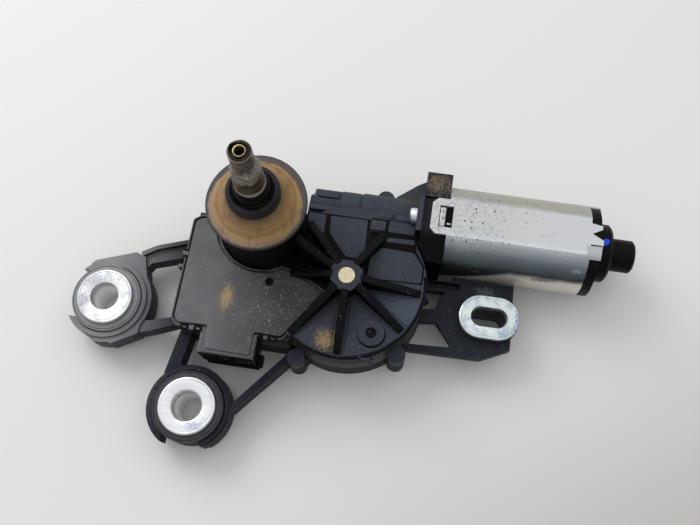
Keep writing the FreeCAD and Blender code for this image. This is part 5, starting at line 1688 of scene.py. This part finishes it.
@dataclass
class Bush:
    """A rubber grommet with its metal sleeve, round or oblong."""

    side: str
    centre: Point2
    stretch: float = 0.0
    flange: float = 10.5
    bore: float = 5.0
    tube: float = 7.0
    rubber: float = 13.0
    rubber_foot: float = 2.5
    waist: float = 11.3
    web: tuple[float, float] = (8.0, 11.0)
    web_play: float = 0.1
    foot: float = 1.0
    top: float = 16.4
    flange_height: float = 1.5
    lead: float = 0.5

    def build(self, finishes: Finishes) -> None:
        """Build both in place of their nodes.

        Args:
            finishes: The materials.
        """
        metal = finishes.get(SLEEVE_FINISHES[self.side])
        piece = self._ring(f"bush_sleeve_{self.side}", self._sleeve(), metal)
        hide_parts(f"sleeve_{self.side}")
        rubber = finishes.get(BUSH_RUBBERS[self.side])
        piece = self._ring(f"bush_rubber_{self.side}", self._rubber(), rubber)
        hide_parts(f"grommet_{self.side}")

    def _ring(
        self, name: str, section: Sequence[Point2], material: bpy.types.Material
    ) -> bpy.types.Object:
        """Build one ring of the bush.

        Args:
            name: The ring's name.
            section: Radius and height of each point of its section.
            material: Its material.

        Returns:
            The ring.
        """
        shape = Shape().turned(section, (*self.centre, 0.0), stretch=self.stretch, steps=128)
        return shape.finish(name, material, smooth=40)

    def _sleeve(self) -> list[Point2]:
        """Give the sleeve's section, with the beaded flange and the rounded mouth.

        Returns:
            Radius and height of each point.
        """
        bore, flange, top, lead = self.bore, self.flange, self.top, self.lead
        face = top + self.flange_height
        return [
            (bore, self.foot), (self.tube, self.foot), (self.tube, top), (flange - 0.35, top),
            (flange, top + 0.3), (flange, face - 0.5), (flange - 0.08, face - 0.22),
            (flange - 0.3, face - 0.06), (flange - 0.85, face - 0.06), (flange - 1.0, face - 0.12),
            (flange - 1.12, face), (bore + lead + 0.3, face), (bore + lead, face - 0.06),
            (bore + lead * 0.75, face - 0.22), (bore + lead * 0.45, face - 0.7),
            (bore + lead * 0.2, face - 1.3), (bore + 0.05, face - 2.0), (bore, face - 3.0),
        ]

    def _rubber(self) -> list[Point2]:
        """Give the grommet's section, with its waist and the groove in its upper edge.

        Returns:
            Radius and height of each point.
        """
        outer, inner, foot, top = self.rubber, self.tube + 0.02, self.rubber_foot, self.top
        low, high = self.web[0] - self.web_play, self.web[1] + self.web_play
        return [
            (inner, foot), (outer - 0.8, foot), (outer - 0.2, foot + 0.3), (outer, foot + 0.9),
            (outer, low), (self.waist, low), (self.waist, high), (outer, high),
            (outer, top - 0.9), (outer - 0.1, top - 0.6), (outer - 0.32, top - 0.5),
            (outer - 0.5, top - 0.5), (outer - 0.56, top - 1.0), (outer - 0.74, top - 1.0),
            (outer - 0.8, top - 0.45), (outer - 1.1, top - 0.35), (inner, top - 0.02),
        ]


@dataclass(frozen=True)
class Rim:
    """An upright wall along an arc."""

    centre: Point2
    inner: float
    outer: float
    start: float
    end: float
    top: float

    def outline(self, steps: int = 40) -> list[Point2]:
        """Give the wall's outline from above.

        Args:
            steps: How many steps each arc is divided into.

        Returns:
            The outline, anticlockwise.
        """
        return [
            *arc(self.centre, self.outer, self.start, self.end, steps),
            *arc(self.centre, self.inner, self.end, self.start, steps),
        ]


@dataclass
class ForkRims:
    """The rounded outer walls of the two round bushes' forks, with their moulded steps."""

    rims: tuple[Rim, ...] = (
        Rim(UPPER_BUSH, 13.35, 15.2, -112.0, 78.0, 14.9),
        Rim(UPPER_BUSH, 15.45, 16.9, -96.0, 66.0, 13.9),
        Rim(LOWER_BUSH, 13.35, 15.0, -62.0, 160.0, 14.5),
    )
    low: float = 4.0

    def build(self, finishes: Finishes) -> None:
        """Build the rims.

        Args:
            finishes: The materials.
        """
        shape = Shape()
        for rim in self.rims:
            shape.prism(rim.outline(), self.low, rim.top)
        shape.soften(0.25).finish("fork_rims", finishes.get(BASE_PLASTIC))


@dataclass
class ElectronicsCover:
    """The clipped-on cover, which reaches from the tray over a sector of the disc."""

    foot: float = 25.4
    floor: float = 26.0
    lip: float = 27.3
    top: float = 27.5
    corners: tuple[Point2, ...] = (
        (-16.7, 1.5), (-24.2, 1.5), (-27.2, -0.6), (-27.3, -38.8), (-25.0, -41.8),
        (-14.7, -41.3), (-14.3, -49.75), (5.0, -50.0), (4.9, -41.3), (14.1, -41.6),
        (27.4, -21.4), (14.2, -15.0), (9.1, -14.1),
    )
    rounding: float = 0.9
    tower: float = 16.75
    tower_turns: tuple[float, float] = (-61.0, -178.0)
    slot_rise: float = 0.06
    slots: tuple[Sides, ...] = (
        (-23.1, -20.0, -42.6, -40.9), (-18.0, -15.0, -42.6, -40.6),
        (5.2, 7.2, -42.0, -40.6), (9.0, 12.3, -42.0, -40.7), (-27.9, -26.2, -15.9, -15.2),
        (-27.9, -26.2, -13.6, -12.9),
    )
    tab_drop: float = 3.0
    tab_rise: float = 0.12
    tabs: tuple[Sides, ...] = (
        (-28.9, -26.9, -20.2, -18.8), (-28.3, -26.0, -15.2, -13.6), (-19.9, -18.1, -42.7, -40.9),
        (-22.3, -20.8, -42.2, -41.6), (-17.3, -15.8, -42.2, -41.5), (7.3, 8.9, -42.2, -40.7),
        (9.9, 11.5, -41.7, -41.2),
    )
    dimple: Point2 = (5.6, -20.7)
    dimple_rim: tuple[Point2, ...] = (
        (0.75, -0.3), (1.6, -0.3), (1.6, 0.02), (1.4, 0.16), (1.0, 0.16), (0.8, 0.0),
    )
    dimple_pit: tuple[Point2, ...] = ((0.0, -0.3), (0.8, -0.3), (0.8, 0.03), (0.0, 0.03))

    def build(self, finishes: Finishes) -> None:
        """Build the cover in place of its node, with its clips and dimple.

        Args:
            finishes: The materials.
        """
        lip, top = self.lip, self.top
        edge = (
            (0.0, self.foot), (0.0, lip - 0.2), (0.12, lip), (0.42, lip), (0.52, lip - 0.1),
            (0.56, self.floor), (1.22, self.floor), (1.26, top - 0.25), (1.4, top - 0.06),
            (1.65, top), (1.9, top),
        )
        outline = [*self.corners, *arc((0.0, 0.0), self.tower, *self.tower_turns, 40)]
        sheet = Shape().stepped(outline, edge, self.rounding)
        piece = sheet.finish("cover_sheet", finishes.get(COVER_PLASTIC), smooth=30)
        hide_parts("electronics_cover")
        # Near-black blocks in the lip's slots are painted shade.
        slots = Shape()
        for sides in self.slots:
            slots.block(sides, self.foot, lip + self.slot_rise)
        slots.finish("cover_slot_shade", finishes.get(DEEP_BLACK))
        tabs = Shape()
        for sides in self.tabs:
            tabs.block(sides, self.foot - self.tab_drop, lip + self.tab_rise)
        tabs.soften(0.2).finish("cover_tabs", finishes.get(COVER_PLASTIC))
        # The dimple's ring and pit are near-black: painted shade.
        spot = (*self.dimple, top)
        rim = Shape().turned(self.dimple_rim, spot, steps=40)
        rim.finish("cover_dimple_rim", finishes.get(RIB_SHADE))
        pit = Shape().turned(self.dimple_pit, spot, steps=32)
        pit.finish("cover_dimple_pit", finishes.get(DEEP_BLACK))


@dataclass
class DiscTop:
    """The raised fields, the ribs in painted shade and the sunk boss of the disc over the worm
    wheel.
    """

    centre: Point2 = (33.7, -16.25)
    edge: float = 27.7
    top: float = 27.45
    field_edge: tuple[Point2, ...] = (
        (0.0, 26.2), (0.0, 27.25), (0.08, 27.4), (0.3, 27.45), (0.45, 27.45),
    )
    plate_edge: tuple[Point2, ...] = (
        (0.0, 26.0), (0.0, 26.95), (0.08, 27.1), (0.25, 27.15), (0.4, 27.15),
    )
    hub: float = 7.4
    rib_gap: float = 2.5
    rib_width: float = 2.75
    rib_low: float = 26.6
    ribs: tuple[tuple[float, float], ...] = (
        (-2.0, 27.2), (-35.0, 27.0), (-89.0, 27.2), (-128.0, 28.2), (61.0, 22.6), (130.0, 27.2),
        (180.0, 21.2),
    )
    tall_rib_turn: float = 154.26
    tall_rib: tuple[Point2, ...] = ((5.9, 26.6), (22.9, 26.6), (21.0, 41.1), (5.9, 35.75))
    fields: tuple[Point2, ...] = ((-128.0, -89.0), (-89.0, -35.0), (-35.0, -2.0))
    corner_plate: tuple[Point2, ...] = (
        (44.4, -1.5), (40.6, -6.0), (40.5, -14.0), (60.4, -13.3), (60.4, -7.0), (56.6, -1.9),
    )
    plates: tuple[tuple[Point2, ...], ...] = (
        ((23.6, 8.4), (24.4, 1.2), (31.6, -7.0), (35.6, -6.9), (38.4, -3.0), (37.7, 8.6)),
        ((38.9, 5.1), (44.6, 5.3), (44.6, 9.3), (38.9, 9.1)),
        ((45.7, 5.0), (56.2, 5.0), (56.2, 9.5), (45.7, 9.5)),
        ((45.2, 1.0), (56.2, 1.2), (56.2, 3.3), (45.6, 2.7)),
        ((15.2, 1.5), (22.3, 1.0), (22.0, 8.6), (15.2, 8.6)),
    )
    skin_heights: tuple[float, float] = (26.6, 27.03)
    skins: tuple[tuple[Point2, ...], ...] = (
        (
            (26.8, -20.9), (29.2, -10.9), (17.0, 3.7), (12.0, 3.0), (9.0, -12.0), (9.1, -14.0),
            (14.2, -14.9),
        ),
        ((14.8, 0.8), (22.0, 0.6), (29.5, -9.0), (39.0, -9.0), (39.0, 9.0), (14.8, 9.0)),
        ((39.0, -14.0), (60.9, -13.6), (60.9, -6.5), (57.0, -1.0), (57.0, 0.6), (39.0, 0.6)),
        ((43.4, 0.6), (57.0, 0.6), (57.0, 9.8), (39.0, 9.8), (39.0, 4.6), (43.4, 4.6)),
    )
    dark_rim: Rim = Rim((33.7, -16.25), 27.95, 28.95, -126.0, 12.0, 27.05)
    dark_rim_low: float = 26.9
    pocket: Sides = (39.2, 43.2, 0.75, 4.35)
    pocket_heights: tuple[float, float] = (24.0, 26.3)
    boss: Point2 = (45.2, -34.15)
    moat_shift: Point2 = (0.25, -0.35)
    moat: tuple[Point2, ...] = ((0.0, -0.4), (5.1, -0.4), (5.1, 0.02), (0.0, 0.02))
    washer: tuple[Point2, ...] = (
        (2.1, -0.3), (4.5, -0.3), (4.5, 0.3), (4.3, 0.45), (2.9, 0.45), (2.7, 0.35), (2.5, 0.1),
        (2.1, 0.06),
    )
    clip: tuple[tuple[tuple[Point2, ...], float, float], ...] = (
        (((42.0, -44.6), (42.9, -44.4), (42.9, -42.4), (42.0, -42.9)), 21.0, 27.2),
        (((46.0, -44.6), (46.9, -44.4), (46.9, -42.4), (46.0, -42.9)), 21.0, 27.2),
        (((42.0, -44.7), (46.9, -43.7), (46.9, -42.7), (42.0, -43.7)), 24.6, 27.2),
    )

    def build(self, finishes: Finishes) -> None:
        """Build the disc's fields, plates, rib skins, boss and rim clip.

        Args:
            finishes: The materials.
        """
        slate = finishes.get(HOUSING_PLASTIC)
        black = finishes.get(RIB_SHADE)
        fields = Shape()
        for start, end in self.fields:
            fields.stepped(self._sector(start, end), self.field_edge, 0.5)
        fields.stepped(self.corner_plate, self.field_edge, 0.8)
        fields.finish("disc_fields", slate)
        plates = Shape()
        for plate in self.plates:
            plates.stepped(plate, self.plate_edge, 0.5)
        plates.finish("tunnel_plates", slate)
        # The ribs are near-black: painted shade.
        ribs = Shape()
        low = self.rib_low
        for turn, reach in self.ribs:
            side = ((5.0, low), (reach, low), (reach, 27.75), (6.0, 35.06), (5.0, 35.06))
            ribs.wedge(side, self.rib_width, self.centre, turn)
        ribs.wedge(self.tall_rib, self.rib_width, self.centre, self.tall_rib_turn)
        ribs.soften(0.25).finish("rib_skins", black)
        self._boss(slate, black)
        self._shadows(finishes.get(DEEP_BLACK))
        clip = Shape()
        for outline, foot, top in self.clip:
            clip.prism(outline, foot, top)
        clip.soften(0.15).finish("disc_clip", slate)

    def _sector(self, start: float, end: float) -> list[Point2]:
        """Give the outline of the field between two ribs.

        Args:
            start: The direction of the first rib.
            end: The direction of the next rib, anticlockwise from it.

        Returns:
            The outline, anticlockwise.
        """
        gap, hub = self.rib_gap, self.hub
        half = math.radians((end - start) / 2)
        middle = math.radians((end + start) / 2)
        point = max(hub, gap / math.sin(half))
        turn = math.degrees(math.asin(gap / self.edge))
        outer = arc(self.centre, self.edge, start + turn, end - turn)
        if point > hub:
            x, y = self.centre
            return [(x + point * math.cos(middle), y + point * math.sin(middle)), *outer]
        near = math.degrees(math.asin(gap / hub))
        return [*arc(self.centre, hub, end - near, start + near, 6), *outer]

    def _shadows(self, black: bpy.types.Material) -> None:
        """Build the dark rim, the dark grooves between the plates and the dark corner.

        Args:
            black: Their material.
        """
        skins = Shape().prism(self.dark_rim.outline(60), self.dark_rim_low, self.dark_rim.top)
        for outline in self.skins:
            skins.prism(outline, *self.skin_heights)
        skins.block(self.pocket, *self.pocket_heights)
        skins.finish("disc_shadows", black)

    def _boss(self, slate: bpy.types.Material, black: bpy.types.Material) -> None:
        """Build the sunk boss's ring of painted shade and its washer.

        Args:
            slate: The disc's material.
            black: The near-black material, for painted shade.
        """
        x, y = self.boss
        right, back = self.moat_shift
        moat = Shape().turned(self.moat, (x + right, y + back, self.top))
        moat.finish("boss_moat", black)
        washer = Shape().turned(self.washer, (x, y, self.top), steps=64)
        washer.finish("boss_washer", slate)


@dataclass
class WormTunnel:
    """The rounded, stepped top of the tunnel that the worm runs in."""

    axis: Point2 = (14.4, 19.6)
    tubes: tuple[Point3, ...] = ((16.0, 34.4, 6.7), (34.4, 57.3, 7.25), (26.5, 33.6, 6.95))
    rails: tuple[Point3, ...] = ((15.0, 40.1, 26.7), (40.9, 46.7, 27.2), (47.5, 56.9, 26.9))
    steps: tuple[tuple[tuple[Point2, ...], float, float], ...] = (
        (((15.6, 22.0), (19.9, 20.4), (19.9, 22.6), (18.6, 26.0), (15.8, 26.9)), 17.4, 25.6),
        (((16.4, 20.0), (20.9, 18.0), (20.9, 20.6), (19.4, 22.9), (17.0, 24.4)), 34.6, 57.2),
    )

    def build(self, finishes: Finishes) -> None:
        """Build the tube's steps, the rail before it and the block behind it.

        Args:
            finishes: The materials.
        """
        slate = finishes.get(HOUSING_PLASTIC)
        tubes = Shape()
        for start, end, radius in self.tubes:
            tubes.bar(arc(self.axis, radius, 10, 170, 20), start, end)
        tubes.soften(0.2).finish("tunnel_tube", slate)
        rails = Shape()
        for start, end, top in self.rails:
            rails.bar(((10.0, 24.0), (12.4, 24.0), (12.4, top), (10.3, top)), start, end)
        for profile, start, end in self.steps:
            rails.bar(profile, start, end)
        rails.soften(0.4).finish("tunnel_rails", slate)


@dataclass
class ConnectorFace:
    """The keys and the foot on the front of the connector's shroud."""

    depth: Point2 = (-50.9, -49.6)
    keys: tuple[tuple[float, float, float, float], ...] = (
        (-13.6, -8.4, 21.5, 26.6), (-7.6, -2.6, 23.2, 26.9), (-1.9, 4.4, 22.0, 26.4),
    )
    foot: tuple[Point2, ...] = ((-13.4, -51.0), (6.0, -51.0), (6.0, -48.0), (-15.2, -48.0))
    foot_heights: tuple[float, float] = (12.8, 15.2)
    corner: tuple[Point2, ...] = ((5.0, -50.4), (7.0, -50.2), (7.2, -46.0), (5.0, -46.0))
    corner_heights: tuple[float, float] = (13.0, 18.0)

    def build(self, finishes: Finishes) -> None:
        """Build the keys and the foot.

        Args:
            finishes: The materials.
        """
        shape = Shape()
        for left, right, low, high in self.keys:
            shape.block((left, right, *self.depth), low, high)
        shape.prism(self.foot, *self.foot_heights)
        shape.prism(self.corner, *self.corner_heights)
        shape.soften(0.3).finish("connector_keys", finishes.get(DEEP_BLACK))


@dataclass
class MotorDetails:
    """The small parts in and on the motor: louvre, screw heads and paint dot."""

    axis: Point2 = (12.25, 17.0)
    screw_reach: float = 11.6
    screw_head: tuple[Point2, ...] = (
        (0.0, 52.6), (1.6, 52.7), (2.6, 53.0), (3.0, 53.5), (3.05, 55.45), (0.0, 55.45),
    )
    slats: tuple[tuple[Sides, float], ...] = (
        ((63.9, 65.9, 8.5, 16.0), 31.9), ((66.6, 68.2, 9.4, 10.1), 31.7),
    )
    window: Sides = (63.7, 68.5, 8.2, 16.3)
    window_heights: tuple[float, float] = (30.72, 30.9)
    dot: Point3 = (125.5, 12.7, 27.95)
    dot_radius: float = 1.55
    dot_rise: tuple[Point2, ...] = ((1.0, 0.0), (0.9, 0.12), (0.6, 0.22), (0.2, 0.26))
    dot_steps: int = 20

    def build(self, finishes: Finishes) -> None:
        """Build the louvre in the ear's window, the screw heads and the paint dot.

        Args:
            finishes: The materials.
        """
        low, high = self.window_heights
        louvre = Shape()
        for sides, top in self.slats:
            louvre.block(sides, high, top)
        louvre.soften(0.2).finish("window_louvre", finishes.get(CAN_STEEL))
        shadow = Shape().block(self.window, low, high)
        shadow.finish("window_shadow", finishes.get(DEEP_BLACK))
        heads = Shape()
        across, height = self.axis
        for side in (1, -1):
            spot = (0.0, across, height + side * self.screw_reach)
            heads.turned(self.screw_head, spot, Along.MOTOR, steps=48, closed=False)
        heads.finish("motor_screw_heads", finishes.get(ZINC), smooth=40)
        self._dot(finishes)

    def _dot(self, finishes: Finishes) -> None:
        """Dab the paint dot on the end cap's shoulder.

        Args:
            finishes: The materials.
        """
        x, y, z = self.dot
        rings = []
        for share, rise in self.dot_rise:
            ring = []
            for step in range(self.dot_steps):
                turn = math.tau * step / self.dot_steps
                reach = self.dot_radius * share * (1.0 + 0.18 * math.sin(2 * turn + 1.0))
                along, across = math.sin(turn) * reach, math.cos(turn) * reach * 0.75
                ring.append((x + along, y + across, z + rise))
            rings.append(ring)
        shape = Shape().faces_from(rings, closed=False).cap(rings[0]).cap(rings[-1])
        shape.finish("paint_dot", finishes.get(BLUE_PAINT))


@dataclass
class Stage:
    """The pale floor, the soft lamps and the camera at the photograph's angle."""

    floor_colour: Colour = (0.74, 0.735, 0.72)
    floor_shade: Colour = (0.48, 0.452, 0.43)
    camera_place: Point3 = (53.6, -99.3, 306.5)
    right: Point3 = (0.98749, 0.15640, -0.02008)
    up: Point3 = (-0.14231, 0.93877, 0.31389)
    forward: Point3 = (-0.06794, 0.30711, -0.94928)
    lens: float = 41.14
    floor_reach: float = 3.0
    floor_gap: float = 0.02
    shade_way: Point3 = (0.6, -0.8, 0.0)
    shade_range: tuple[float, float] = (0.07, 0.21)
    light_way: Point3 = (-0.15, 0.48, 0.86)
    light_range: tuple[float, float] = (0.15, 0.95)
    room_colours: tuple[Colour, Colour] = ((0.46, 0.465, 0.48), (0.97, 0.98, 1.0))
    lamps: tuple[tuple[str, Point3, float, float], ...] = (
        ("key_lamp", (-360.0, 320.0, 480.0), 380.0, 1.9),
        ("fill_lamp", (380.0, 240.0, 560.0), 500.0, 0.25),
    )
    lit_spot: Point3 = (30.0, -15.0, 0.0)

    def build(self) -> None:
        """Build the floor, the world, the lamps and the camera."""
        self._floor()
        self._world()
        for name, place, size, power in self.lamps:
            self._lamp(name, place, size, power)
        self._camera()

    def _floor(self) -> None:
        """Lay a large pale floor under the part."""
        reach = self.floor_reach
        data = bpy.data.meshes.new("floor")
        corners = [(-reach, -reach, 0), (reach, -reach, 0), (reach, reach, 0), (-reach, reach, 0)]
        data.from_pydata(corners, [], [(0, 1, 2, 3)])
        floor = bpy.data.objects.new("floor", data)
        floor.location = (0.0, 0.0, -self.floor_gap * MM)
        bpy.context.scene.collection.objects.link(floor)
        material = bpy.data.materials.new("pale_table")
        material.use_nodes = True
        tree = Tree(material.node_tree)
        shader = material.node_tree.nodes["Principled BSDF"]
        place = tree.add("TexCoord").outputs["Object"]
        slope = tree.vector("DOT_PRODUCT", place, self.shade_way, output=1)
        share = tree.span(slope, *self.shade_range)
        tree.feed(shader.inputs["Base Color"], tree.mix(share, self.floor_colour, self.floor_shade))
        shader.inputs["Roughness"].default_value = 0.7
        shader.inputs["Specular IOR Level"].default_value = 0.1
        data.materials.append(material)

    def _world(self) -> None:
        """Light the scene softly from a pale room, brightest overhead and behind."""
        world = bpy.data.worlds.new("soft_room")
        bpy.context.scene.world = world
        world.use_nodes = True
        tree = Tree(world.node_tree)
        world.node_tree.nodes.clear()
        ray = tree.add("TexCoord").outputs["Generated"]
        lean = tree.vector("DOT_PRODUCT", ray, self.light_way, output=1)
        colour = tree.mix(tree.span(lean, *self.light_range), *self.room_colours)
        room = tree.add("Background", {"Color": colour, "Strength": 1.0})
        output = tree.add("OutputWorld")
        tree.feed(output.inputs[0], room.outputs[0])

    def _lamp(self, name: str, place: Point3, size: float, power: float) -> None:
        """Hang a square lamp that faces the part.

        Args:
            name: The lamp's name.
            place: Where it hangs.
            size: The length of its side.
            power: Its power in watts.
        """
        data = bpy.data.lights.new(name, "AREA")
        data.size = size * MM
        data.energy = power
        lamp = bpy.data.objects.new(name, data)
        lamp.location = Vector(place) * MM
        aim = Vector(self.lit_spot) * MM - lamp.location
        lamp.rotation_euler = aim.to_track_quat("-Z", "Y").to_euler()
        bpy.context.scene.collection.objects.link(lamp)

    def _camera(self) -> None:
        """Put the camera at the photograph's place and angle."""
        data = bpy.data.cameras.new("camera")
        data.lens = self.lens
        data.sensor_width = 36.0
        data.clip_start = 0.01
        camera = bpy.data.objects.new("camera", data)
        columns = (self.right, self.up, tuple(-part for part in self.forward))
        turn = Matrix(columns).transposed()
        camera.matrix_world = Matrix.Translation(Vector(self.camera_place) * MM) @ turn.to_4x4()
        bpy.context.scene.collection.objects.link(camera)
        bpy.context.scene.camera = camera


def main() -> None:
    """Build the looks around the frame, logging each piece's face count."""
    logging.basicConfig(level=logging.INFO, format="%(name)s %(message)s")
    bpy.context.scene.view_settings.view_transform = "Standard"
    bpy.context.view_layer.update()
    finishes = Finishes()
    Stage().build()
    CarriedNodes().dress(finishes)
    for assembly in (
        ShaftSeal(),
        OutputShaft(),
        Bush("upper", UPPER_BUSH, lead=0.4),
        Bush("lower", LOWER_BUSH, lead=0.8),
        Bush(
            "slotted", SLOTTED_BUSH, stretch=3.05, flange=8.25, bore=3.3, tube=5.0, rubber=8.4,
            waist=7.0, web=(9.5, 14.0),
        ),
        ForkRims(),
        ElectronicsCover(),
        DiscTop(),
        WormTunnel(),
        ConnectorFace(),
        MotorDetails(),
    ):
        assembly.build(finishes)


if __name__ == "__main__":
    main()
